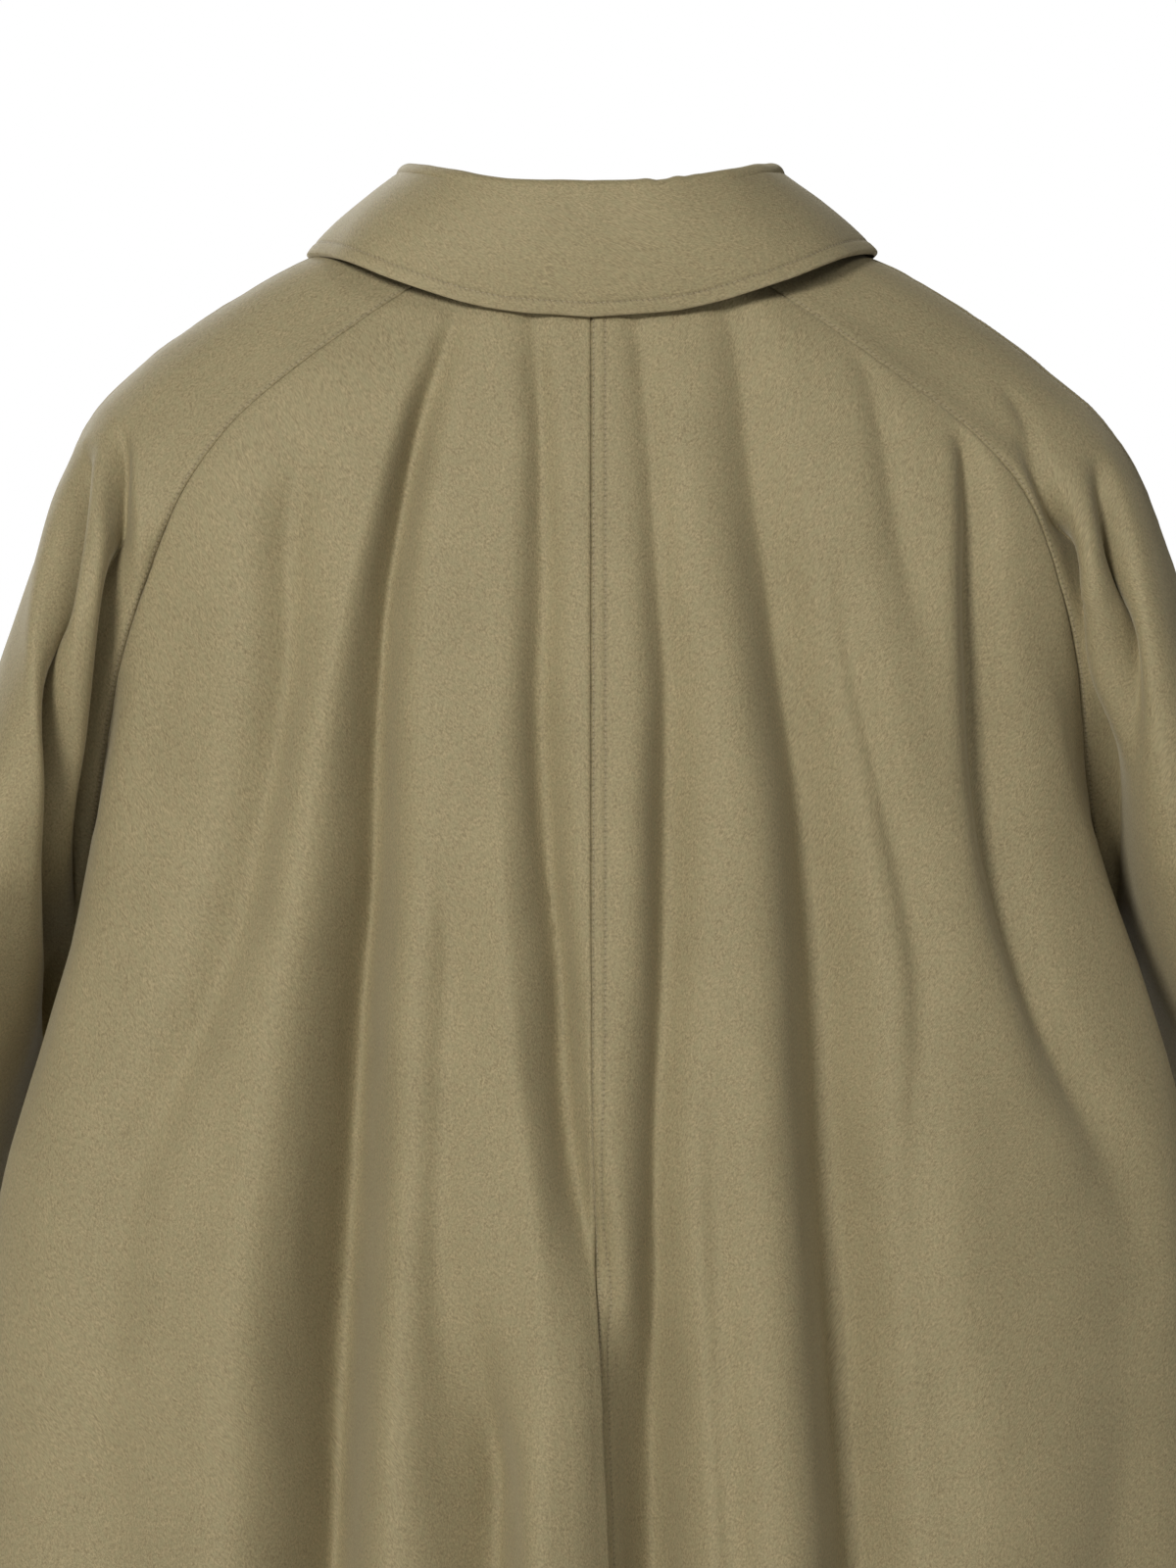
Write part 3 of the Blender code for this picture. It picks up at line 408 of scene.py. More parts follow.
# Finer creases that the solids leave out. A negative depth is a ridge.
BODY_CREASES = {
    Half.BACK: {
        "under_collar_middle": path(
            (-36, 32, 0, 7, 6.4), (-50, 32, 1.2, 7, 6.4), (-90, 30, 0, 8, 7.2),
        ),
        "left_soft": path(
            (-300, 76, 0, 7.2, 11.2), (-340, 74, 5.1, 7.2, 12), (-420, 76, 5.7, 8.1, 12.8),
            (-520, 80, 8.6, 9, 14.4), (-600, 78, 5.7, 10.8, 14.4), (-680, 80, 0, 10.8, 14.4),
        ),
        "right_soft": path(
            (-390, -62, 0, 7, 9.6), (-470, -63, 4.9, 7, 10.4), (-570, -65, 6.5, 8, 11.2),
            (-680, -70, 8.4, 9, 12.8), (-900, -76, 4.9, 14, 16), (-1000, -78, 0, 14, 16),
        ),
        "right_upper_soft": path(
            (-30, -136, 0, 7, 9.6), (-70, -147, 3.9, 7, 10.4), (-120, -156, 4.7, 8, 11.2),
            (-175, -166, 3.2, 8, 11.2), (-205, -172, 0, 8, 11.2),
        ),
        "right_lower_soft": path(
            (-140, -128, 0, 6.3, 9.6), (-180, -131, 3.4, 6.3, 9.6), (-270, -151, 6.8, 7.2, 12),
            (-370, -170, 6.8, 8.1, 13.6), (-470, -168, 5.5, 9, 14.4), (-620, -182, 5.5, 10.8, 16),
            (-760, -190, 0, 12.6, 17.6),
        ),
        "beside_left_raglan": path(
            (-190, 206, 0, 6, 6.4), (-215, 218, 1.3, 6, 7.2), (-255, 232, 1.3, 7, 8), (-295, 240, 0, 7, 8),
        ),
        "left_side_ridge": path(
            (-200, 238, 0, 10, 16), (-250, 246, -4, 10, 18), (-290, 250, -6, 11, 20),
            (-371, 263, -7, 12, 24), (-430, 281, -7, 12, 26), (-472, 296, -6, 14, 30),
            (-560, 306, -3, 16, 34), (-680, 315, 0, 16, 34),
        ),
        "right_side_ridge": path(
            (-200, -232, 0, 16, 9), (-240, -240, -4, 18, 9), (-270, -246, -6, 20, 10),
            (-320, -262, -7, 22, 11), (-371, -281, -7, 24, 12), (-430, -297, -7, 28, 13),
            (-520, -302, -5, 32, 16), (-680, -314, 0, 34, 16),
        ),
        "left_roll": path(
            (-200, 49, 0, 9, 7), (-250, 49, -1.8, 10, 7), (-320, 46, -3, 10, 7), (-370, 43, -3.5, 10, 8),
            (-470, 31, -4.5, 12, 9), (-570, 28, -5.5, 12, 10), (-660, 34, -5, 14, 10),
            (-900, 36, 0, 18, 16),
        ),
    },
    Half.FRONT: {
        "left_chest": path(
            (-120, 70, 0, 8, 10), (-180, 73, 3, 9, 12), (-300, 70, 5, 10, 14), (-460, 66, 4, 12, 14),
            (-600, 62, 0, 12, 14),
        ),
        "right_chest": path(
            (-130, -66, 0, 10, 8), (-200, -70, 3.5, 12, 9), (-330, -77, 5.5, 14, 10),
            (-520, -74, 4, 14, 12), (-700, -78, 0, 14, 12),
        ),
        "left_lower": path(
            (-520, 70, 0, 12, 14), (-700, 74, 9, 15, 17), (-1080, 80, 20, 22, 24),
        ),
        "right_lower": path(
            (-600, -72, 0, 12, 12), (-760, -76, 8, 16, 15), (-1080, -82, 18, 24, 20),
        ),
        "left_shoulder": path(
            (-110, 150, 0, 8, 10), (-170, 158, 3.5, 8, 13), (-260, 167, 5, 9, 15), (-380, 176, 3, 10, 16),
            (-480, 182, 0, 12, 16),
        ),
        "right_shoulder": path(
            (-120, -140, 0, 10, 8), (-190, -151, 3.5, 12, 9), (-300, -161, 5, 14, 10),
            (-420, -168, 3, 15, 10), (-520, -172, 0, 15, 12),
        ),
    },
}

SLEEVE_FOLDS = {
    (Half.BACK, Side.LEFT): {
        "near_groove": path(
            (-80, 247, 0, 5, 5), (-92, 246.5, 7, 5, 5), (-118, 246, 15, 5, 5), (-143, 243.5, 20, 5, 5),
            (-168, 244, 22, 5.5, 5.5), (-219, 252, 21, 4.5, 4.5), (-270, 260.5, 19, 4, 4),
            (-321, 266, 13, 4, 4.5), (-372, 268, 0, 4.5, 5),
        ),
        "far_groove": path(
            (-90, 266, 0, 4, 6), (-104, 269.5, 11, 4, 6), (-118, 271, 20, 4, 6), (-143, 274, 26, 4, 6),
            (-168, 276, 29, 4.5, 5.5), (-219, 277, 29, 4.5, 5), (-270, 275, 28, 5, 5),
            (-321, 278, 24, 5.5, 5), (-372, 281, 19, 6, 6), (-430, 286, 11, 8, 7), (-520, 292, 0, 10, 10),
        ),
        "elbow": path(
            (-360, 345, 0, 14, 12), (-410, 338, 5, 14, 12), (-470, 352, 8, 16, 13), (-540, 376, 0, 18, 14),
        ),
    },
    (Half.BACK, Side.RIGHT): {
        "cap": path(
            (-58, -212, 0, 4, 6), (-70, -222, 1.8, 4, 6), (-95, -231, 2.2, 4, 6), (-118, -238, 0, 4, 6),
        ),
        "seam_hollow": path(
            (-84, -222, 0, 6, 6), (-104, -231, 5, 5, 8), (-125, -239, 13, 5, 7), (-143, -243, 22, 4.5, 6),
            (-168, -244.5, 26, 4.5, 6), (-219, -248, 26, 4.5, 9), (-262, -254, 23, 5, 18),
            (-300, -262, 15, 5, 22), (-360, -278, 0, 5, 24),
        ),
        "outer_groove": path(
            (-96, -264.8, 0, 6, 6), (-118, -268.3, 10.4, 5.5, 6.5), (-143, -271.8, 18.2, 5.5, 7),
            (-168, -274.3, 22.1, 5.5, 7), (-219, -275.8, 14.3, 6, 9), (-262, -279.8, 3.9, 7, 10),
            (-320, -288.8, 0, 8, 10),
        ),
        "elbow": path(
            (-350, -330, 0, 12, 14), (-400, -326, 6, 12, 14), (-455, -338, 7, 13, 16),
            (-530, -362, 0, 14, 18),
        ),
    },
    (Half.FRONT, Side.LEFT): {
        "elbow": path(
            (-310, 300, 0, 16, 16), (-370, 312, 6, 16, 16), (-440, 334, 9, 18, 18), (-560, 362, 0, 20, 20),
        ),
    },
    (Half.FRONT, Side.RIGHT): {
        "elbow": path(
            (-320, -306, 0, 16, 16), (-380, -318, 7, 16, 16), (-450, -336, 8, 18, 18),
            (-570, -364, 0, 20, 20),
        ),
    },
}

COLLAR_LINES = table(
    CollarPoint,
    (0, 0, 86, 41, 0, 96, -28), (25, 41, 82, 43, 56, 94, -23), (50, 74, 62, 50, 106, 83, -9),
    (75, 93, 26, 56, 142, 47, 6), (90, 98, -4, 57, 155, 0, 10), (115, 93, -40, 42, 144, -52, -6),
    (140, 72, -68, 8, 116, -88, -47), (160, 42, -86, -23, 88, -106, -88),
    (180, 2.2, -95, -46, 60, -122, -126),
)


@dataclass
class CoatForm:
    """The drape of the whole coat: where its cloth hangs, before any sewing shows.

    Rows run from the neck down. Above the arm they are found by their station on the raglan seam,
    from 0 at the neck to 1 at the underarm, and below it by their height on the body or by a
    station from 1 to 2 at the cuff on a sleeve.
    """

    back_length: float = 1080 * MM
    front_overlap: float = 28 * MM
    overlap_ease: float = 84 * MM
    wall: float = 2.0 * MM
    layer_gap: float = 0.45 * MM
    rows_above: int = 120
    rows_below: int = 200
    sleeve_rows_below: int = 80
    sleeve_below: float = 330 * MM
    hem_rows: tuple = (3.6 * MM, 2.0 * MM, 0.9 * MM, 0.0)
    hem_clear: float = 6.5 * MM
    close_columns: int = 181
    close_points: int = 241
    neck_blend: float = 4 / 11
    sleeve_neck_blend: float = 1 / 11
    fold_blend: float = 3 / 11
    fold_fade: float = 0.16
    sleeve_fold_fade: float = 0.03
    row_spread: float = 1.12
    neck_turns: dict = field(default_factory=lambda: {Half.BACK: (0, 47), Half.FRONT: (180, 121)})
    side_turn: float = 90
    placket: float = 34 * MM
    placket_fade: float = 30 * MM
    lean_reach: float = 220 * MM
    sway_reach: float = 70 * MM
    centre_reach: float = 20 * MM
    overlap_columns: int = 14
    row_handle: float = 0.6
    turn_reach: float = 0.85
    drop_power: float = 1.2
    lap_fade: float = 3.0
    lip: float = 0.13
    lip_out: float = 2.4
    lip_width: float = 1.3
    fold_power: float = 1.7
    right_power: float = 2.0
    fold_past_end: float = 10 * MM
    crease_start: float = 0.62
    crease_length: float = 0.26
    crease_end: float = 0.72
    crease_spread: float = 1.2
    underarm_spread: float = 0.24
    seam_step: float = 0.02
    overarm_turn: dict = field(default_factory=lambda: {Side.LEFT: 0.0, Side.RIGHT: 0.07})
    overarm_turn_station: float = 0.7

    def stations(self) -> np.ndarray:
        """The stations of the rows from the neck to the underarm."""
        return np.linspace(0, 1, self.rows_above + 1)

    def heights(self) -> np.ndarray:
        """The heights of the body's rows from just under the arm to the hem."""
        top, hem = self.seam(Half.BACK, 1)[0][2], -self.back_length
        close = hem + np.array(self.hem_rows)
        steps = np.linspace(0, 1, self.rows_below + 1 - len(close))[1:] ** self.row_spread
        return np.concatenate([top + (hem + self.hem_clear - top) * steps, close])

    def sleeve_stations(self) -> np.ndarray:
        """The stations of every row of a sleeve."""
        close = 2 - np.array(self.hem_rows) / self.sleeve_below
        last = 2 - self.hem_clear / self.sleeve_below
        steps = np.linspace(1, last, self.sleeve_rows_below + 1 - len(close))
        return np.concatenate([self.stations(), steps[1:], close])

    def body_size(self, z: float, name: str) -> float:
        """A size of the body's section at height z."""
        return smooth(-z, -column(BODY_SECTIONS, "z"), column(BODY_SECTIONS, name))

    def neck(self, turn: np.ndarray) -> np.ndarray:
        """Points of the neck seam.

        Args:
            turn: Degrees from the centre back, positive to the wearer's left.

        Returns:
            One point for each turn.
        """
        turns = column(NECK_SEAM, "turn", 1)
        past = np.abs(np.atleast_1d(turn).astype(float))
        x, y, z = (smooth(past, turns, column(NECK_SEAM, axis)) for axis in "xyz")
        return np.stack([x * np.where(np.atleast_1d(turn) < 0, -1, 1), y, z], axis=-1)

    def seam(self, half: Half, station: float) -> tuple:
        """A point of a left raglan seam.

        Args:
            half: Back or front.
            station: Its station.

        Returns:
            The point, and the body's direction across the seam.
        """
        rows = RAGLAN_SEAMS[half]
        stations = column(rows, "station", 1)
        point = np.array([float(smooth(station, stations, column(rows, axis))) for axis in "xyz"])
        turn = math.radians(float(smooth(station, stations, column(rows, "turn", 1))))
        return point, np.array([math.cos(turn), -math.sin(turn) * half.value, 0.0])

    def arm(self, station: float, name: str, size: float = MM) -> float:
        """A value of the arm's table at a station."""
        return float(smooth(station, column(ARM_LINE, "station", 1), column(ARM_LINE, name, size)))

    def arm_point(self, station: float, line: str) -> np.ndarray:
        """A point of the arm's over or under line."""
        return np.array([self.arm(station, f"{line}_{axis}") for axis in "xyz"])

    def body_row(self, half: Half, station: float | None, z: float | None, shares: np.ndarray) -> np.ndarray:
        """One row of a left body panel.

        Args:
            half: Back or front.
            station: The row's station, or None below the arm.
            z: The row's height below the arm.
            shares: Shares of the way from the centre to the outer seam.

        Returns:
            One point for each share.
        """
        if station is None:
            edge = np.array([self.body_size(z, "half_width"), self.body_size(z, "side_y"), z])
            along = np.array([0.0, -float(half.value), 0.0])
            centre_z = z
        else:
            edge, along = self.seam(half, station)
            drop = self.seam(half, 0)[0][2] - self.neck(self.neck_turns[half][0])[0][2]
            centre_z = edge[2] - drop * (1 - station) ** self.drop_power
        centre = np.array([0.0, half.value * self.body_size(centre_z, half.word), centre_z])
        gap = abs(centre[1] - edge[1])
        reach = min(gap / max(math.sin(math.acos(min(1.0, along[0]))), 1e-6), self.turn_reach * edge[0])
        flat = edge[0] - along[0] * reach
        first = centre + np.array([self.row_handle * flat, 0, 0])
        return bezier(centre, first, edge - self.row_handle * reach * along, edge, shares)

    def body(self, half: Half, side: Side) -> np.ndarray:
        """The hanging cloth of a body panel.

        Args:
            half: Back or front.
            side: Left or right.

        Returns:
            Rows of points from neck to hem, each from the centre or front edge to the outer seam.
        """
        shares = np.linspace(0, 1, self.close_columns)
        rows = [self.body_row(half, s, None, shares) for s in self.stations()]
        rows += [self.body_row(half, None, z, shares) for z in self.heights()]
        grid = np.array(rows)
        first, last = self.neck_turns[half]
        neck = self.neck(first + (last - first) * shares)
        joined = self.body_row(half, self.neck_blend, None, shares)
        self.join_neck(grid, (neck, joined), self.neck_blend, -1, shares)
        fade = smoothstep((1 - shares) / self.fold_fade)
        under = smoothstep(self.lap_fade * (1 - shares))
        if half is Half.FRONT:
            past = self.overlap(grid)
            grid = np.concatenate([past, grid], axis=1)
            fade = np.concatenate([np.zeros(past.shape[1]), fade])
            under = np.concatenate([np.ones(past.shape[1]), under])
        grid = self.on_side(grid, side)
        out = self.level_normals(grid, half, side)
        if half is Half.FRONT:
            fade = fade * smoothstep((np.abs(grid[..., 0]) - self.placket) / self.placket_fade)
        blend = np.concatenate([self.stations() / self.fold_blend, np.ones(self.rows_below)])
        push = self.folds(BODY_FOLDS[half], grid) + self.folds(BODY_CREASES[half], grid)
        push = push * fade * smoothstep(blend)[:, None]
        if half is Half.FRONT and side is Side.LEFT:
            eased = smoothstep((grid[..., 0] - self.front_overlap) / self.overlap_ease)
            push = push + (self.wall + self.layer_gap) * (1 - eased) * under
        grid = grid - out * push[..., None]
        if half is Half.BACK:
            sway = smooth(-grid[..., 2], -column(CENTRE_SWAY, "z"), column(CENTRE_SWAY, "out"))
            grid[..., 0] -= sway * np.exp(-((grid[..., 0] / self.sway_reach) ** 2))
        return grid

    def join_neck(self, grid: np.ndarray, rows: tuple, blend: float, end: int, hold: np.ndarray) -> None:
        """Runs a panel's top rows into its part of the neck seam.

        Args:
            grid: The panel's rows, which this changes.
            rows: The neck seam's row, and the row at which the panel is free of it.
            blend: That row's station.
            end: The column of the raglan seam, which stays where it is.
            hold: How far each column goes with that one.
        """
        for r, station in enumerate(self.stations()):
            share = station / blend
            if share >= 1:
                break
            seam = grid[r, end].copy()
            grid[r] = rows[0] * (1 - share) + rows[1] * share
            grid[r] += (seam - grid[r, end]) * hold[:, None]

    def overlap(self, grid: np.ndarray) -> np.ndarray:
        """The cloth of a left front panel that reaches past the centre front."""
        reaches = np.linspace(self.front_overlap, 0, self.overlap_columns + 1)[:-1]
        past = np.zeros((len(grid), len(reaches), 3))
        for r, row in enumerate(grid):
            y, z = (np.interp(reaches, row[:, 0], row[:, axis]) for axis in (1, 2))
            past[r] = np.stack([-reaches, y, z], axis=-1)
        return past

    def on_side(self, grid: np.ndarray, side: Side) -> np.ndarray:
        """The same cloth on the left, or mirrored to the right, which hangs further out."""
        if side is Side.LEFT:
            return grid
        lean = smooth(-grid[..., 2], -column(RIGHT_LEAN, "z"), column(RIGHT_LEAN, "out"))
        moved = grid.copy()
        moved[..., 0] = -grid[..., 0] - lean * smoothstep(grid[..., 0] / self.lean_reach)
        return moved

    def level_normals(self, grid: np.ndarray, half: Half, side: Side) -> np.ndarray:
        """Level directions out of a body panel, straight back at the centre back."""
        across = np.gradient(grid, axis=1)
        level = unit(np.stack([across[..., 1], -across[..., 0], np.zeros(grid.shape[:2])], axis=-1))
        level = level * (-1 if (side is Side.LEFT) == (half is Half.BACK) else 1)
        if half is Half.BACK:
            eased = smoothstep(np.abs(grid[..., :1]) / self.centre_reach)
            level = unit(level * eased + np.array([0, 1.0, 0]) * (1 - eased))
        return level

    def folds(self, paths: dict, grid: np.ndarray) -> np.ndarray:
        """How far folds push the cloth inwards.

        Args:
            paths: Fold paths by name.
            grid: Points of a panel.

        Returns:
            A push for each point.
        """
        x, z = grid[..., 0], grid[..., 2]
        push = np.zeros_like(x)
        for points in paths.values():
            heights = -column(points, "z")
            inside = (-z >= heights[0]) & (-z <= heights[-1] + self.fold_past_end)
            at = np.clip(-z, heights[0], heights[-1])
            names = ("x", "depth", "left", "right")
            middle, depth, left, right = (smooth(at, heights, column(points, name)) for name in names)
            off = x - middle
            share = np.abs(off) / np.where(off > 0, left, right)
            bell = np.exp(-(share ** np.where(off > 0, self.fold_power, self.right_power)))
            bell -= self.lip * np.exp(-(((off - self.lip_out * left) / (self.lip_width * left)) ** 2))
            push += np.where(inside, depth * bell, 0)
        return push

    def sleeve_ring(self, station: float) -> np.ndarray:
        """The whole ring of a left sleeve, from the back seam over the arm to the front seam."""
        halves = [self.sleeve_half(half, station) for half in (Half.BACK, Half.FRONT)]
        return np.concatenate([halves[0], halves[1][-2::-1]])

    def sleeve_half(self, half: Half, station: float) -> np.ndarray:
        """Half a ring of a left sleeve.

        Args:
            half: Back or front.
            station: The ring's station.

        Returns:
            Close points from the body's seam to the top of the arm.
        """
        facing = float(half.value)
        over = self.arm_point(station, "over")
        lean = math.radians(self.arm(station, "lean", 1))
        bow = np.array([0.0, facing * math.cos(lean), -facing * math.sin(lean)])
        spread_out = np.array([1.0, 0, 0])
        if station < 1:
            start, across = self.seam(half, station)
            before, after = max(station - self.seam_step, 0), station + self.seam_step
            along = unit(self.seam(half, after)[0] - self.seam(half, before)[0])
            normal = unit(np.cross(across, along))
            straight = over - start
            smooth_way = unit(straight - normal * np.dot(straight, normal))
            crease = smoothstep((station - self.crease_start) / self.crease_length)
            opened = 1 - smoothstep((station - self.crease_end) / (1 - self.crease_end))
            spread = spread_out * (self.underarm_spread + self.crease_spread * opened)
            leave = unit(smooth_way * (1 - crease) + unit(bow + spread) * crease)
        else:
            start = self.arm_point(station, "under")
            leave = unit(bow + spread_out * self.underarm_spread)
        seam_bow, over_bow = self.arm(station, "seam_bow"), self.arm(station, "over_bow")
        shares = np.linspace(0, 1, self.close_points)
        return bezier(start, start + leave * seam_bow, over + bow * over_bow, over, shares)

    def sleeve_row(self, half: Half, side: Side, station: float) -> np.ndarray:
        """One row of half a sleeve, from its seam with the body to the overarm seam."""
        ring = self.sleeve_ring(station)
        length = lengths(ring)
        turn = self.overarm_turn[side] * smoothstep(station / self.overarm_turn_station)
        seam = length[self.close_points - 1] - turn * length[-1]
        ends = (0, seam) if half is Half.BACK else (length[-1], seam)
        places = np.linspace(*ends, self.close_columns)
        return read_line(places, length, ring)

    def sleeve(self, half: Half, side: Side) -> np.ndarray:
        """The hanging cloth of half a sleeve.

        Args:
            half: Back or front.
            side: Left or right.

        Returns:
            Rows of points from neck to cuff, each from the body's seam to the overarm seam.
        """
        shares = np.linspace(0, 1, self.close_columns)
        grid = np.array([self.sleeve_row(half, side, s) for s in self.sleeve_stations()])
        first = self.neck_turns[half][1]
        neck = self.neck(first + (self.side_turn - first) * shares)
        joined = self.sleeve_row(half, side, self.sleeve_neck_blend)
        self.join_neck(grid, (neck, joined), self.sleeve_neck_blend, 0, 1 - shares)
        out = grid_normals(grid) * half.value
        fade = smoothstep(shares / self.sleeve_fold_fade) * smoothstep((1 - shares) / self.sleeve_fold_fade)
        push = self.folds(SLEEVE_FOLDS[half, side], self.on_side(grid, side)) * fade
        return self.on_side(grid - out * push[..., None], side)


# Panels of cloth

# Pairs of millimetres: a distance from an edge, and how far the cloth stands out of its level there
PROFILES = {
    Finish.PLAIN: ((0, -1.3), (0.6, -0.6), (1.3, -0.15), (2.2, 0.0), (5.4, 0.05), (14, 0)),
    Finish.RIDGE: ((0, -1.2), (0.6, -0.25), (1.3, -0.1), (2.2, 0.3), (5.4, 0.45), (8.2, 0.25), (14, 0)),
    Finish.WELT: (
        (0, -1.3), (0.6, -0.45), (1.3, 0.05), (2.2, 0.3), (3.6, 0.4), (5.4, 0.3), (6.6, 0.0),
        (7.4, -0.35), (8.2, -0.1), (9.4, 0.0), (14, 0),
    ),
    Finish.LAP: ((0, -1.2), (0.6, -0.3), (1.3, 0.15), (2.2, 0.25), (5.4, 0.1), (14, 0)),
    Finish.FREE: ((0, -0.45), (0.6, -0.05), (1.3, 0.1), (5.4, 0.1), (14, 0)),
    Finish.STITCHED_FREE: (
        (0, -0.5), (0.6, -0.05), (1.3, 0.15), (3.6, 0.3), (5.4, 0.25), (6.6, 0.0), (7.4, -0.35),
        (8.2, -0.1), (9.4, 0.0), (14, 0),
    ),
    Finish.INSIDE: ((0, 0), (14, 0)),
}
HEM_PROFILE = ((0, -0.75), (0.9, -0.25), (2.0, 0.05), (3.6, 0.35), (34, 0.35), (38, 0.25), (43, 0))
NEAR_AN_EDGE = np.array([0, 0.6, 1.3, 2.2, 3.6, 5.4, 6.6, 7.4, 8.2, 9.4, 11.4, 14]) * MM
EDGE_ROW = 1.3 * MM
INNER_ROW = 7.4 * MM
STITCH_REACH = 0.8 * MM
RUBBED_REACH = 1.6 * MM
PUCKER_REACH = 7 * MM
PUCKER_LENGTHS = (13 * MM, 5.5 * MM)
SEWN_PUCKER = 0.34 * MM
PLAIN_PUCKER = 0.22 * MM
LAP_TOP = -440 * MM
LAP_GROWTH = 180 * MM
LAP_REACH = 6 * MM

# How wide and how long the humps of the cloth's unevenness are, and how calm its edges are
BROAD_HUMP = (46 * MM, 150 * MM)
MIDDLING_HUMP = (17 * MM, 48 * MM)
FINE_HUMP = (6 * MM, 13 * MM)
CALM_EDGE = 25 * MM
EDGE_SHARE = 0.35
SHARED_EDGE = 6 * MM
SHARP_FOLD = math.radians(58)

# How strongly a bend draws the columns of a row together, and over how many of them
BEND_PULL = 26 * MM
BEND_SPREAD = np.hanning(13)[1:-1] / np.hanning(13).sum()
MOST_BESIDE_EDGES = 0.7


def spread_columns(grid: np.ndarray, middle: int, near_start: np.ndarray, near_end: np.ndarray) -> np.ndarray:
    """Lays out a grid's columns again, close beside its edges and closer where a row bends.

    Args:
        grid: Rows of points.
        middle: How many columns stand between those beside the edges.
        near_start: Distances of the first columns from the start of each row.
        near_end: Distances of the last columns from its end.

    Returns:
        The same surface, with its new columns.
    """
    spread = []
    for row in grid:
        length = lengths(row)
        fit = min(1.0, MOST_BESIDE_EDGES * length[-1] / (near_start[-1] + near_end[-1]))
        start, end = near_start * fit, length[-1] - near_end[::-1] * fit
        turned = np.linalg.norm(np.diff(unit(np.diff(row, axis=0)), axis=0), axis=1)
        beside = len(BEND_SPREAD) // 2
        bends = np.convolve(np.pad(turned, (beside, beside + 1), mode="edge"), BEND_SPREAD, mode="valid")
        dense = length + BEND_PULL * np.concatenate([[0.0], np.cumsum(bends)])
        ends = np.interp([start[-1], end[0]], length, dense)
        between = np.interp(np.linspace(*ends, middle + 2)[1:-1], dense, length)
        places = np.concatenate([start, between, end])
        spread.append(read_line(places, length, row))
    return np.array(spread)


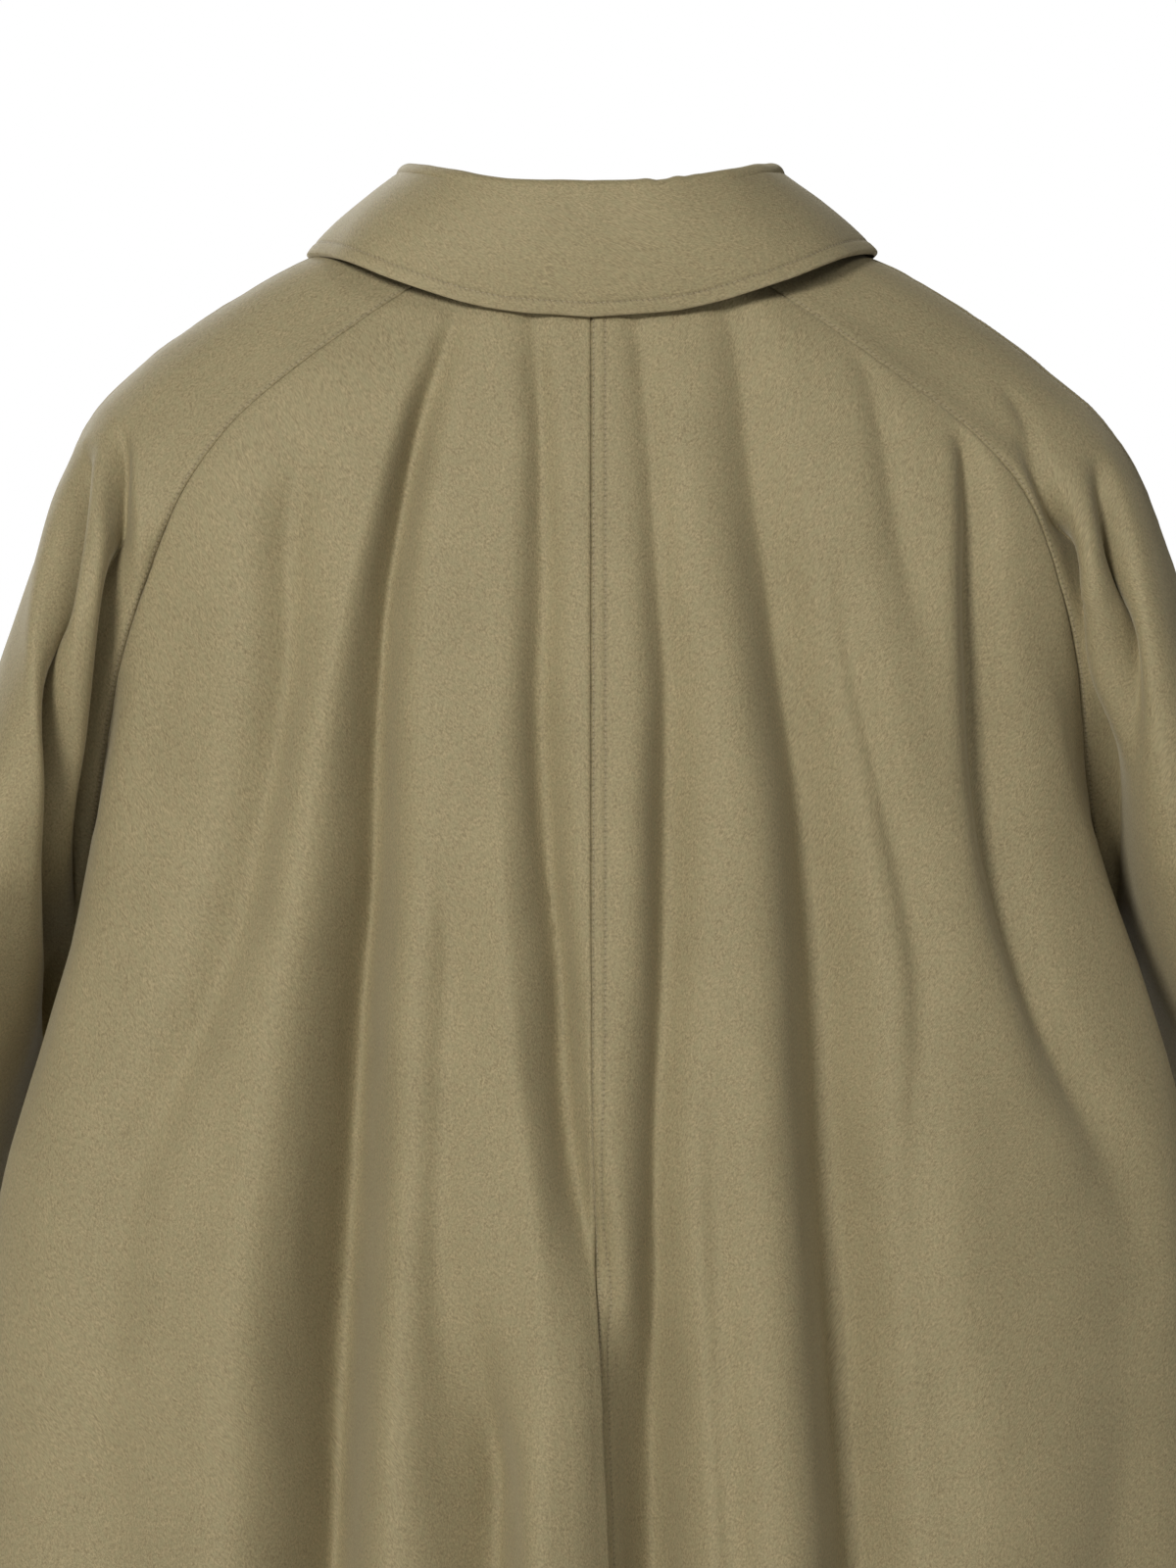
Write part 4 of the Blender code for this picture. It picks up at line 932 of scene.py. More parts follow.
@dataclass
class Shell:
    """One piece of cloth: an outer grid of points with a wall behind it.

    The grid has an even number of steps both ways, because the inner skin takes every second
    point. The columns start at the first edge, and the start and end edges have a finish each.
    """

    name: str
    grid: np.ndarray
    flip: float
    wall: float
    start: Finish
    end: Finish
    seed: int
    lap: float = 0.0
    hemmed: bool = False
    calm: np.ndarray | None = None
    through: np.ndarray | None = None

    def __post_init__(self) -> None:
        """Measures the cloth before anything moves it."""
        self.from_start = lengths(self.grid.transpose(1, 0, 2)).T
        self.from_end = self.from_start[:, -1:] - self.from_start
        self.along = lengths(self.grid)
        self.normals = grid_normals(self.grid) * self.flip
        if self.through is None:
            self.through = self.normals.copy()
        if self.calm is None:
            self.calm = np.ones(self.grid.shape[:2])

    def relief(self, broad: float, middling: float, fine: float) -> None:
        """Moves the cloth by its unevenness and by the profiles of its edges.

        Args:
            broad: Height of soft swells about a hand wide.
            middling: Height of ripples about a thumb wide.
            fine: Height of the smallest puckers.
        """
        away = smoothstep(np.minimum(self.from_start, self.from_end) / CALM_EDGE)
        lift = broad * self.uneven(BROAD_HUMP, 0) * away
        lift += middling * self.uneven(MIDDLING_HUMP, 1) * (EDGE_SHARE + (1 - EDGE_SHARE) * away)
        lift += fine * self.uneven(FINE_HUMP, 2)
        lift *= self.calm
        for seed, (distance, finish) in enumerate(self.edges(), start=3):
            lift += self.profile(distance, finish, seed)
        if self.hemmed:
            places, heights = np.array(HEM_PROFILE).T * MM
            lift += np.interp(self.along[-1] - self.along, places, heights)
        low = smoothstep((LAP_TOP - self.grid[..., 2]) / LAP_GROWTH)
        lift += self.lap * low * np.exp(-((self.from_start / LAP_REACH) ** 2))
        self.grid = self.grid + self.through_or_normal() * lift[..., None]

    def uneven(self, hump: tuple, number: int) -> np.ndarray:
        """The cloth's unevenness, by its hump's width and length and its own number."""
        return ripple(self.from_start / hump[0], self.along / hump[1], self.seed + number)

    def edges(self) -> tuple:
        """For the start and the end edge, each point's distance from it and the edge's finish."""
        return (self.from_start, self.start), (self.from_end, self.end)

    def through_or_normal(self) -> np.ndarray:
        """The direction in which relief moves each point: shared with the neighbour at the edges."""
        edge = np.minimum(self.from_start, self.from_end)
        own = smoothstep(edge / SHARED_EDGE)[..., None]
        return unit(self.through * (1 - own) + self.normals * own)

    def profile(self, distance: np.ndarray, finish: Finish, seed: int) -> np.ndarray:
        """How far the finish of one edge lifts the cloth.

        Args:
            distance: How far each point is from that edge.
            finish: The edge's finish.
            seed: Which unevenness its puckers have.

        Returns:
            A lift for each point.
        """
        places, heights = np.array(PROFILES[finish]).T * MM
        lift = np.interp(distance, places, heights)
        if finish is Finish.INSIDE:
            return lift
        uneven = ripple(self.along / PUCKER_LENGTHS[0], self.along * 0, self.seed + seed)
        uneven += 0.5 * ripple(self.along / PUCKER_LENGTHS[1], self.along * 0, self.seed + seed + 7)
        pucker = SEWN_PUCKER if finish in (Finish.WELT, Finish.STITCHED_FREE) else PLAIN_PUCKER
        return lift + pucker * uneven * np.exp(-((distance / PUCKER_REACH) ** 2)) * self.calm

    def sewn(self) -> np.ndarray:
        """How near each point is to a row of stitches, from 0 to 1, which places the painted shade there."""
        near = np.zeros(self.grid.shape[:2])
        for distance, finish in self.edges():
            rows = []
            if finish in (Finish.RIDGE, Finish.WELT):
                rows.append(EDGE_ROW)
            if finish in (Finish.WELT, Finish.STITCHED_FREE):
                rows.append(INNER_ROW)
            for row in rows:
                near = np.maximum(near, np.exp(-(((distance - row) / STITCH_REACH) ** 2)))
        return near

    def rubbed(self) -> np.ndarray:
        """How near each point is to an edge that wear would lighten, from 0 to 1."""
        near = np.zeros(self.grid.shape[:2])
        for distance, finish in self.edges():
            if finish in (Finish.FREE, Finish.STITCHED_FREE):
                near = np.maximum(near, np.exp(-distance / RUBBED_REACH))
        return near

    def stitch_line(self, from_start: bool, distance: float) -> tuple:
        """The line of a row of stitches.

        Args:
            from_start: Whether the row runs beside the start edge.
            distance: How far in it runs.

        Returns:
            Its points from neck to hem, and the directions out of the cloth there.
        """
        gap = self.from_start if from_start else self.from_end
        points, outs = [], []
        facing = grid_normals(self.grid) * self.flip
        for r in range(len(self.grid)):
            order = slice(None) if from_start else slice(None, None, -1)
            place = gap[r, order]
            points.append(read_line(distance, place, self.grid[r, order]))
            outs.append(read_line(distance, place, facing[r, order]))
        return np.array(points), unit(np.array(outs))

    def mesh(self) -> bpy.types.Mesh:
        """The closed mesh of the cloth, with its measures for the weave."""
        rows, columns = self.grid.shape[:2]
        inner = (self.grid - self.through * self.wall)[::2, ::2]
        half_rows, half_columns = inner.shape[:2]
        count = rows * columns
        outer_at = np.arange(count).reshape(rows, columns)
        inner_at = count + np.arange(half_rows * half_columns).reshape(half_rows, half_columns)
        faces = quads(outer_at).tolist() + quads(inner_at)[:, ::-1].tolist()
        fine, coarse = rim(outer_at), rim(inner_at)
        for i in range(len(coarse)):
            p, q, r = fine[2 * i], fine[2 * i + 1], fine[(2 * i + 2) % len(fine)]
            faces.append([p, q, r, coarse[(i + 1) % len(coarse)], coarse[i]])
        if self.flip > 0:
            faces = [face[::-1] for face in faces]
        mesh = bpy.data.meshes.new(self.name)
        verts = np.concatenate([self.grid.reshape(-1, 3), inner.reshape(-1, 3)])
        mesh.from_pydata(verts.tolist(), [], faces)
        add_weave_map(mesh, both_skins(self.from_start), both_skins(self.along))
        add_measure(mesh, "sewn", np.concatenate([self.sewn().ravel(), np.zeros(inner[..., 0].size)]))
        add_measure(mesh, "rubbed", both_skins(self.rubbed()))
        mesh.shade_smooth()
        mesh.set_sharp_from_angle(angle=SHARP_FOLD)
        return mesh


def both_skins(values: np.ndarray) -> np.ndarray:
    """The values of a shell's outer skin, and after them those of its inner skin."""
    return np.concatenate([values.ravel(), values[::2, ::2].ravel()])


def quads(at: np.ndarray) -> np.ndarray:
    """The four corners of each face of a grid of vertex numbers."""
    return np.stack([at[:-1, :-1], at[1:, :-1], at[1:, 1:], at[:-1, 1:]], axis=-1).reshape(-1, 4)


def rim(at: np.ndarray) -> list:
    """The vertex numbers round a grid's rim, in order."""
    return [*at[0, :-1], *at[:-1, -1], *at[-1, :0:-1], *at[:0:-1, 0]]


def add_weave_map(mesh: bpy.types.Mesh, u: np.ndarray, v: np.ndarray) -> None:
    """Gives a mesh a map in metres, across and along its cloth.

    Args:
        mesh: The mesh.
        u: How far across each vertex is.
        v: How far along it is.
    """
    corners = np.empty(len(mesh.loops), int)
    mesh.loops.foreach_get("vertex_index", corners)
    layer = mesh.uv_layers.new(name="weave")
    layer.data.foreach_set("uv", np.stack([u[corners], v[corners]], axis=-1).astype(np.float32).ravel())


def add_measure(mesh: bpy.types.Mesh, name: str, values: np.ndarray) -> None:
    """Gives each vertex of a mesh a named number, which a finish reads."""
    layer = mesh.attributes.new(name=name, type="FLOAT", domain="POINT")
    layer.data.foreach_set("value", values.astype(np.float32))


def put(name: str, data: bpy.types.ID) -> bpy.types.Object:
    """Puts a mesh, light or camera in the scene."""
    thing = bpy.data.objects.new(name, data)
    bpy.context.scene.collection.objects.link(thing)
    return thing


def put_solid(name: str, work: bmesh.types.BMesh) -> bpy.types.Object:
    """Puts a worked solid in the scene, and frees what it was worked on."""
    mesh = bpy.data.meshes.new(name)
    work.to_mesh(mesh)
    work.free()
    return put(name, mesh)


def add_piece(name: str, mesh: bpy.types.Mesh, finish: bpy.types.Material) -> bpy.types.Object:
    """Puts a mesh in the scene as a piece of the coat.

    Args:
        name: The piece's name.
        mesh: Its mesh.
        finish: Its material.

    Returns:
        The piece.
    """
    mesh.materials.append(finish)
    piece = put(name, mesh)
    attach(piece, "root")
    LOG.info("%s: %d faces", name, len(mesh.polygons))
    return piece


# Finishes


class NodeWork:
    """A material's nodes, with short ways to add and join them."""

    def __init__(self, name: str) -> None:
        """Starts a material with one Principled shader."""
        self.material = bpy.data.materials.new(name)
        self.material.use_nodes = True
        self.tree = self.material.node_tree
        self.shader = self.tree.nodes["Principled BSDF"]

    def add(self, kind: str, values: dict | None = None, **settings: object) -> bpy.types.Node:
        """Adds a node.

        Args:
            kind: The node's type.
            values: Values of its sockets by name.
            **settings: Values of its own properties.

        Returns:
            The node.
        """
        node = self.tree.nodes.new(kind)
        for name, value in settings.items():
            setattr(node, name, value)
        for name, value in (values or {}).items():
            node.inputs[name].default_value = value
        return node

    def join(self, source: bpy.types.NodeSocket, target: bpy.types.NodeSocket) -> None:
        """Links two sockets."""
        self.tree.links.new(source, target)

    def give(self, values: dict) -> None:
        """Gives the shader's sockets their values, or the sockets that they read.

        Args:
            values: Values and sockets by the name of the shader's socket.
        """
        for name, value in values.items():
            if isinstance(value, bpy.types.NodeSocket):
                self.join(value, self.shader.inputs[name])
            else:
                self.shader.inputs[name].default_value = value

    def sum(self, how: str, first: bpy.types.NodeSocket, second: object) -> bpy.types.NodeSocket:
        """Works out one Math node.

        Args:
            how: The operation.
            first: Its first value.
            second: Its second value, a socket or a number.

        Returns:
            The result's socket.
        """
        node = self.add("ShaderNodeMath", operation=how)
        self.join(first, node.inputs[0])
        if isinstance(second, (int, float)):
            node.inputs[1].default_value = second
        else:
            self.join(second, node.inputs[1])
        return node.outputs[0]

    def ranged(self, value: bpy.types.NodeSocket, start: tuple, end: tuple = (0, 1)) -> bpy.types.NodeSocket:
        """Maps a value from one range to another.

        Args:
            value: The value.
            start: The range it comes from.
            end: The range it goes to.

        Returns:
            The mapped value's socket.
        """
        limits = {"From Min": start[0], "From Max": start[1], "To Min": end[0], "To Max": end[1]}
        node = self.add("ShaderNodeMapRange", limits)
        self.join(value, node.inputs["Value"])
        return node.outputs["Result"]

    def blend(self, share: bpy.types.NodeSocket, first: object, second: object) -> bpy.types.NodeSocket:
        """Mixes two colours.

        Args:
            share: How much of the second shows.
            first: A socket or a colour.
            second: A socket or a colour.

        Returns:
            The mixed colour's socket.
        """
        node = self.add("ShaderNodeMix", data_type="RGBA")
        self.join(share, node.inputs["Factor"])
        for colour, place in ((first, 6), (second, 7)):
            if isinstance(colour, tuple):
                node.inputs[place].default_value = (*colour, 1)
            else:
                self.join(colour, node.inputs[place])
        return node.outputs[2]

    def noise(self, place: bpy.types.NodeSocket, scale: float, detail: float) -> bpy.types.NodeSocket:
        """Adds a noise texture.

        Args:
            place: Its coordinates.
            scale: How many humps to a metre.
            detail: How many finer layers.

        Returns:
            The noise's socket, from 0 to 1.
        """
        node = self.add("ShaderNodeTexNoise", {"Scale": scale, "Detail": detail})
        self.join(place, node.inputs["Vector"])
        return node.outputs["Fac"]

    def scaled(self, place: bpy.types.NodeSocket, turn: float, scale: tuple) -> bpy.types.NodeSocket:
        """Turns and scales coordinates.

        Args:
            place: The coordinates.
            turn: Degrees about their Z.
            scale: The scale along each axis.

        Returns:
            The new coordinates.
        """
        node = self.add("ShaderNodeMapping")
        node.inputs["Rotation"].default_value = (0, 0, math.radians(turn))
        node.inputs["Scale"].default_value = scale
        self.join(place, node.inputs["Vector"])
        return node.outputs["Vector"]

    def bump(self, height: bpy.types.NodeSocket, strength: float, distance: float) -> None:
        """Adds relief under what relief there is, and joins it to the shader.

        Args:
            height: The relief's height, from 0 to 1.
            strength: How much of it shows.
            distance: How high 1 is, in metres.
        """
        node = self.add("ShaderNodeBump", {"Strength": strength, "Distance": distance})
        self.join(height, node.inputs["Height"])
        before = self.shader.inputs["Normal"].links
        if before:
            self.join(before[0].from_socket, node.inputs["Normal"])
        self.join(node.outputs["Normal"], self.shader.inputs["Normal"])


@dataclass(frozen=True)
class Gabardine:
    """Khaki cotton gabardine: steep fine twill, slightly uneven in colour, with a low sheen."""

    name: str = "khaki_gabardine"
    colour: tuple = (0.380, 0.309, 0.168)
    shade: tuple = (0.165, 0.130, 0.064)
    green: tuple = (0.262, 0.232, 0.122)
    rubbed: tuple = (0.420, 0.350, 0.215)
    # The colour of the painted shade along the rows of stitches.
    needle_hole: tuple = (0.110, 0.084, 0.044)
    wale: float = 0.75 * MM
    wale_turn: float = 27
    stitch_pitch: float = 3.0 * MM
    roughness: float = 0.72
    sheen: float = 0.22
    sheen_roughness: float = 0.42
    sheen_colour: tuple = (0.93, 0.86, 0.68, 1)
    specular: float = 0.35

    def make(self) -> bpy.types.Material:
        """Builds the material."""
        work = NodeWork(self.name)
        cloth = work.add("ShaderNodeUVMap", uv_map="weave").outputs["UV"]
        solid = work.add("ShaderNodeTexCoord").outputs["Object"]
        mottle = work.ranged(work.noise(solid, 22, 3), (0.36, 0.64))
        fibre = work.noise(work.scaled(cloth, 0, (1700, 260, 1)), 1.0, 3)
        slub = work.ranged(work.noise(work.scaled(cloth, 0, (420, 46, 1)), 1.0, 2), (0.3, 0.7))
        weave = {
            "Scale": math.tau / (20 * self.wale), "Distortion": 1.2, "Detail": 1.0, "Detail Scale": 0.5
        }
        twill = work.add("ShaderNodeTexWave", weave, wave_type="BANDS", bands_direction="X")
        work.join(work.scaled(cloth, self.wale_turn, (1, 1, 1)), twill.inputs["Vector"])
        fleck = work.ranged(work.noise(work.scaled(cloth, 20, (1000, 700, 1)), 1.0, 1), (0.36, 0.64))
        grain = work.ranged(work.noise(work.scaled(cloth, -30, (560, 430, 1)), 1.0, 1), (0.34, 0.66))
        tone = work.sum("MULTIPLY", mottle, 0.10)
        for part, share in ((slub, 0.10), (fibre, 0.10), (fleck, 0.42), (grain, 0.28)):
            tone = work.sum("ADD", tone, work.sum("MULTIPLY", part, share))
        colour = work.blend(tone, self.shade, self.colour)
        tinge = work.ranged(work.noise(cloth, 190, 3), (0.40, 0.66), (0, 0.5))
        colour = work.blend(tinge, colour, self.green)
        groove = work.sum("MULTIPLY", work.sum("SUBTRACT", twill.outputs["Fac"], 0.5), 0.16)
        colour = work.blend(work.sum("ABSOLUTE", groove, 0), colour, self.shade)
        worn = work.add("ShaderNodeAttribute", attribute_name="rubbed").outputs["Fac"]
        worn = work.sum("MULTIPLY", worn, work.ranged(work.noise(solid, 160, 2), (0.35, 0.65), (0.15, 0.6)))
        colour = work.blend(worn, colour, self.rubbed)
        # Painted shade: dark spots and a faint dark line along the rows of stitches.
        colour = work.blend(self.holes(work, cloth), colour, self.needle_hole)
        rough = work.ranged(fibre, (0.3, 0.7), (self.roughness - 0.06, self.roughness + 0.08))
        work.give({
            "Base Color": colour, "Roughness": rough, "Sheen Weight": self.sheen,
            "Sheen Roughness": self.sheen_roughness, "Sheen Tint": self.sheen_colour,
            "Specular IOR Level": self.specular,
        })
        work.bump(work.noise(solid, 55, 2), 0.25, 1.2 * MM)
        work.bump(slub, 0.25, 0.16 * MM)
        work.bump(fleck, 0.30, 0.14 * MM)
        work.bump(twill.outputs["Fac"], 0.35, 0.12 * MM)
        return work.material

    def holes(self, work: NodeWork, cloth: bpy.types.NodeSocket) -> bpy.types.NodeSocket:
        """The share of painted shade along the rows of stitches: dark spots, and a faint dark line between
        them.

        Args:
            work: The material's nodes.
            cloth: The cloth's coordinates.

        Returns:
            The share's socket.
        """
        sewn = work.add("ShaderNodeAttribute", attribute_name="sewn").outputs["Fac"]
        along = work.add("ShaderNodeSeparateXYZ")
        work.join(cloth, along.inputs[0])
        phase = work.sum("FRACT", work.sum("DIVIDE", along.outputs["Y"], self.stitch_pitch), 0)
        off = work.sum("ABSOLUTE", work.sum("SUBTRACT", phase, 0.5), 0)
        spot = work.ranged(off, (0.30, 0.48))
        shade = work.sum("MULTIPLY", sewn, work.ranged(spot, (0, 1), (0.18, 0.8)))
        return work.sum("MINIMUM", shade, 1.0)


@dataclass(frozen=True)
class SewingThread:
    """Khaki sewing thread, close to the cloth's colour."""

    name: str = "khaki_thread"
    colour: tuple = (0.200, 0.160, 0.086)
    light: tuple = (0.320, 0.262, 0.150)
    roughness: float = 0.55
    sheen: float = 0.2

    def make(self) -> bpy.types.Material:
        """Builds the material."""
        work = NodeWork(self.name)
        solid = work.add("ShaderNodeTexCoord").outputs["Object"]
        tone = work.ranged(work.noise(solid, 420, 2), (0.35, 0.65))
        twist = work.noise(work.scaled(solid, 35, (1, 1, 1)), 3200, 1)
        rough = work.ranged(twist, (0.3, 0.7), (self.roughness - 0.1, self.roughness + 0.12))
        colour = work.blend(tone, self.colour, self.light)
        work.give({"Base Color": colour, "Roughness": rough, "Sheen Weight": self.sheen})
        work.bump(twist, 0.5, 0.08 * MM)
        return work.material


@dataclass(frozen=True)
class ButtonHorn:
    """Dark brown horn: streaked and clouded, and polished."""

    name: str = "brown_horn"
    dark: tuple = (0.050, 0.032, 0.018)
    light: tuple = (0.150, 0.098, 0.052)
    roughness: float = 0.26
    polish: float = 0.25
    polish_roughness: float = 0.18

    def make(self) -> bpy.types.Material:
        """Builds the material."""
        work = NodeWork(self.name)
        solid = work.add("ShaderNodeTexCoord").outputs["Object"]
        streak = work.noise(work.scaled(solid, 24, (900, 160, 300)), 1.0, 4)
        cloud = work.noise(solid, 120, 2)
        tone = work.sum("MULTIPLY", work.ranged(streak, (0.35, 0.68), (0, 1)), 0.65)
        tone = work.sum("ADD", tone, work.sum("MULTIPLY", cloud, 0.35))
        scuff = work.noise(solid, 1500, 3)
        rough = work.ranged(scuff, (0.3, 0.75), (self.roughness - 0.05, self.roughness + 0.16))
        work.give({
            "Base Color": work.blend(tone, self.dark, self.light), "Roughness": rough,
            "Coat Weight": self.polish, "Coat Roughness": self.polish_roughness,
        })
        work.bump(scuff, 0.15, 0.05 * MM)
        return work.material


@dataclass(frozen=True)
class PalePaper:
    """The pale matt paper of the studio floor."""

    name: str = "pale_paper"
    colour: tuple = (0.80, 0.79, 0.77)
    grain: tuple = (0.76, 0.75, 0.73)
    roughness: float = 0.9
    specular: float = 0.1
    glow: float = 0.2

    def make(self) -> bpy.types.Material:
        """Builds the material."""
        work = NodeWork(self.name)
        solid = work.add("ShaderNodeTexCoord").outputs["Object"]
        colour = work.blend(work.noise(solid, 6, 4), self.grain, self.colour)
        work.give({
            "Base Color": colour, "Roughness": self.roughness, "Specular IOR Level": self.specular,
            "Emission Color": (1, 1, 1, 1), "Emission Strength": self.glow,
        })
        work.bump(work.noise(solid, 900, 2), 0.2, 0.2 * MM)
        return work.material


# Sewing


@dataclass
class StitchRows:
    """Rows of machine stitches: short arched lengths of thread between needle holes."""

    name: str
    pitch: float = 3.0 * MM
    length: float = 2.5 * MM
    thread_width: float = 0.55 * MM
    thread_height: float = 0.42 * MM
    sunk: float = 0.16 * MM
    slant: float = 7.0
    seed: int = 5
    rows: list = field(default_factory=list)

    def add(self, line: tuple, first: float = 0.0, last: float = math.inf) -> None:
        """Adds a row on a line of points and directions out of the cloth, from first to last along it."""
        self.rows.append((line[0], line[1], first, last))

    def template(self) -> tuple:
        """One stitch: its points as shares along, across and up, and its faces."""
        places = np.array([-1.0, -0.82, -0.35, 0.35, 0.82, 1.0])
        girths = np.array([0.35, 0.85, 1.0, 1.0, 0.85, 0.35])
        sides = 6
        turns = np.arange(sides) * math.tau / sides
        points = []
        for place, girth in zip(places, girths):
            arch = 1 - place**2 * 1.5
            for turn in turns:
                points.append((place, girth * math.cos(turn), arch, girth * math.sin(turn)))
        at = np.arange(len(points)).reshape(len(places), sides)
        closed = np.concatenate([at, at[:, :1]], axis=1)
        faces = quads(closed).tolist() + [at[0].tolist(), at[-1, ::-1].tolist()]
        return np.array(points), faces

    def mesh(self) -> bpy.types.Mesh:
        """All the stitches of all the rows as one mesh."""
        shape, shape_faces = self.template()
        chance = np.random.default_rng(self.seed)
        verts, faces = [], []
        for points, outs, first, last in self.rows:
            run = lengths(points)
            count = int((min(last, run[-1]) - first) / self.pitch)
            for k in range(count):
                middle = first + (k + 0.5) * self.pitch
                half = self.length / 2 * chance.uniform(0.92, 1.04)
                ends = [read_line(middle + way * half, run, points) for way in (-1, 1)]
                centre = read_line(middle, run, points)
                out = unit(read_line(middle, run, outs))
                straight = unit(ends[1] - ends[0])
                square = unit(np.cross(out, straight))
                lean = math.radians(self.slant + chance.uniform(-4, 4))
                way = straight * math.cos(lean) + square * math.sin(lean)
                across = square * math.cos(lean) - straight * math.sin(lean)
                rise = (shape[:, 2] * 0.5 + shape[:, 3] * 0.5) * self.thread_height - self.sunk
                flat = way * (shape[:, :1] * half) + across * (shape[:, 1:2] * self.thread_width / 2)
                offset = len(verts) * len(shape)
                verts.append(centre + flat + out * rise[:, None])
                faces += [[offset + i for i in face] for face in shape_faces]
        mesh = bpy.data.meshes.new(self.name)
        mesh.from_pydata(np.concatenate(verts).tolist(), [], faces)
        mesh.shade_smooth()
        return mesh

    def make(self, finish: bpy.types.Material) -> None:
        """Builds the rows as one piece."""
        add_piece(self.name, self.mesh(), finish)


# The coat's pieces


class Cut(NamedTuple):
    """The flat cut of a piece of cloth in metres: its width, length and area."""

    width: float
    length: float
    area: float


def add_cloth(shell: Shell, finish: bpy.types.Material) -> None:
    """Adds a shell as the piece of cloth that stands for its solid.

    Args:
        shell: The shell, which has the solid's name.
        finish: The cloth's finish.
    """
    piece = add_piece(f"{shell.name}_cloth", shell.mesh(), finish)
    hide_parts(shell.name)


@dataclass
class Panels:
    """The eight panels of body and sleeves."""

    form: CoatForm
    middle_columns: dict = field(default_factory=lambda: {"body": 89, "sleeve": 85})
    broad: float = 1.5 * MM
    middling: float = 0.42 * MM
    fine: float = 0.05 * MM
    laps: dict = field(default_factory=lambda: {"back_left": 1.1 * MM, "back_right": -1.3 * MM})
    placket: float = 40 * MM
    placket_fade: float = 50 * MM
    placket_calm: float = 0.08
    underarm_inward: float = 0.6
    underarm_up: float = 1.3
    underarm_reach: float = 14 * MM
    shells: dict = field(default_factory=dict)

    def lay_out(self) -> None:
        """Lays out every panel, joins their seams and gives them their relief."""
        for number, (side, half) in enumerate((s, h) for s in Side for h in Half):
            flip = float(side.value * half.value)
            body = self.form.body(half, side)
            self.add_shell(f"{half.word}_{side.word}", body, flip, 100 + 20 * number)
            sleeve = self.form.sleeve(half, side)
            self.add_shell(f"sleeve_{half.word}_{side.word}", sleeve, flip, 200 + 20 * number)
        self.share_seams()
        for shell in self.shells.values():
            shell.relief(self.broad, self.middling, self.fine)

    def add_shell(self, name: str, grid: np.ndarray, flip: float, seed: int) -> None:
        """Adds the shell of one panel.

        Args:
            name: The panel's name.
            grid: Its hanging cloth.
            flip: 1 or -1, which makes its normals point out.
            seed: Which unevenness it has.
        """
        middle = self.middle_columns["sleeve" if name.startswith("sleeve") else "body"]
        laid = spread_columns(grid, middle, NEAR_AN_EDGE, NEAR_AN_EDGE)
        start, end = self.finishes(name)
        shell = Shell(name, laid, flip, self.form.wall, start, end, seed)
        shell.lap, shell.hemmed = self.laps.get(name, 0.0), True
        if name.startswith("front"):
            past = smoothstep((np.abs(laid[..., 0]) - self.placket) / self.placket_fade)
            shell.calm = self.placket_calm + (1 - self.placket_calm) * past
        self.shells[name] = shell

    @staticmethod
    def finishes(name: str) -> tuple:
        """The finishes of a panel's start and end edges."""
        if name.startswith("sleeve_back"):
            return Finish.RIDGE, Finish.WELT
        if name.startswith("sleeve_front"):
            return Finish.RIDGE, Finish.PLAIN
        if name.startswith("front"):
            return Finish.STITCHED_FREE, Finish.PLAIN
        return (Finish.WELT if name == "back_right" else Finish.LAP), Finish.PLAIN

    def share_seams(self) -> None:
        """Gives panels that meet the same direction through the cloth along their seam."""
        arm = self.form.rows_above
        above, below, every = slice(0, arm + 1), slice(arm, None), slice(None)
        pairs = [("back_left", (every, 0), "back_right", (every, 0))]
        for side in Side:
            word = side.word
            pairs += [
                (f"sleeve_back_{word}", (every, -1), f"sleeve_front_{word}", (every, -1)),
                (f"back_{word}", (below, -1), f"front_{word}", (below, -1)),
                (f"sleeve_back_{word}", (below, 0), f"sleeve_front_{word}", (below, 0)),
                (f"back_{word}", (above, -1), f"sleeve_back_{word}", (above, 0)),
                (f"front_{word}", (above, -1), f"sleeve_front_{word}", (above, 0)),
            ]
        for first, at, second, there in pairs:
            middle = unit(self.shells[first].normals[at] + self.shells[second].normals[there])
            self.shells[first].through[at] = middle
            self.shells[second].through[there] = middle
        for shell in self.shells.values():
            self.ease_underarm(shell, arm)

    def ease_underarm(self, shell: Shell, arm: int) -> None:
        """Turns the wall of a panel smoothly round the point where four panels meet under the arm.

        Args:
            shell: The panel.
            arm: The number of the underarm's row.
        """
        sleeve = shell.name.startswith("sleeve")
        point = shell.grid[arm, 0 if sleeve else -1]
        outward = -1.0 if sleeve else 1.0
        side = 1 if point[0] > 0 else -1
        corner = np.array([outward * side * self.underarm_inward, 0, -self.underarm_up])
        near = np.exp(-((np.linalg.norm(shell.grid - point, axis=-1) / self.underarm_reach) ** 2))[..., None]
        shell.through = shell.through * (1 - near) + corner * near

    def make(self, finish: bpy.types.Material) -> None:
        """Builds the panels as pieces that stand for their solids."""
        for shell in self.shells.values():
            add_cloth(shell, finish)

    def sew(self, finish: bpy.types.Material) -> None:
        """Sews the seams that show stitches."""
        centre = StitchRows("centre_back_stitches", seed=11)
        for distance in (EDGE_ROW, INNER_ROW):
            centre.add(self.shells["back_right"].stitch_line(True, distance))
        centre.make(finish)
        for side in Side:
            raglan = StitchRows(f"raglan_stitches_{side.word}", seed=12 + side.value)
            overarm = StitchRows(f"overarm_stitches_{side.word}", seed=22 + side.value)
            for half in Half:
                shell = self.shells[f"sleeve_{half.word}_{side.word}"]
                run = lengths(shell.grid[:, 0])[self.form.rows_above]
                raglan.add(shell.stitch_line(True, EDGE_ROW), 0, run)
            for distance in (EDGE_ROW, INNER_ROW):
                overarm.add(self.shells[f"sleeve_back_{side.word}"].stitch_line(False, distance))
            raglan.make(finish)
            overarm.make(finish)
            edge = StitchRows(f"front_edge_stitches_{side.word}", seed=32 + side.value)
            edge.add(self.shells[f"front_{side.word}"].stitch_line(True, INNER_ROW))
            edge.make(finish)

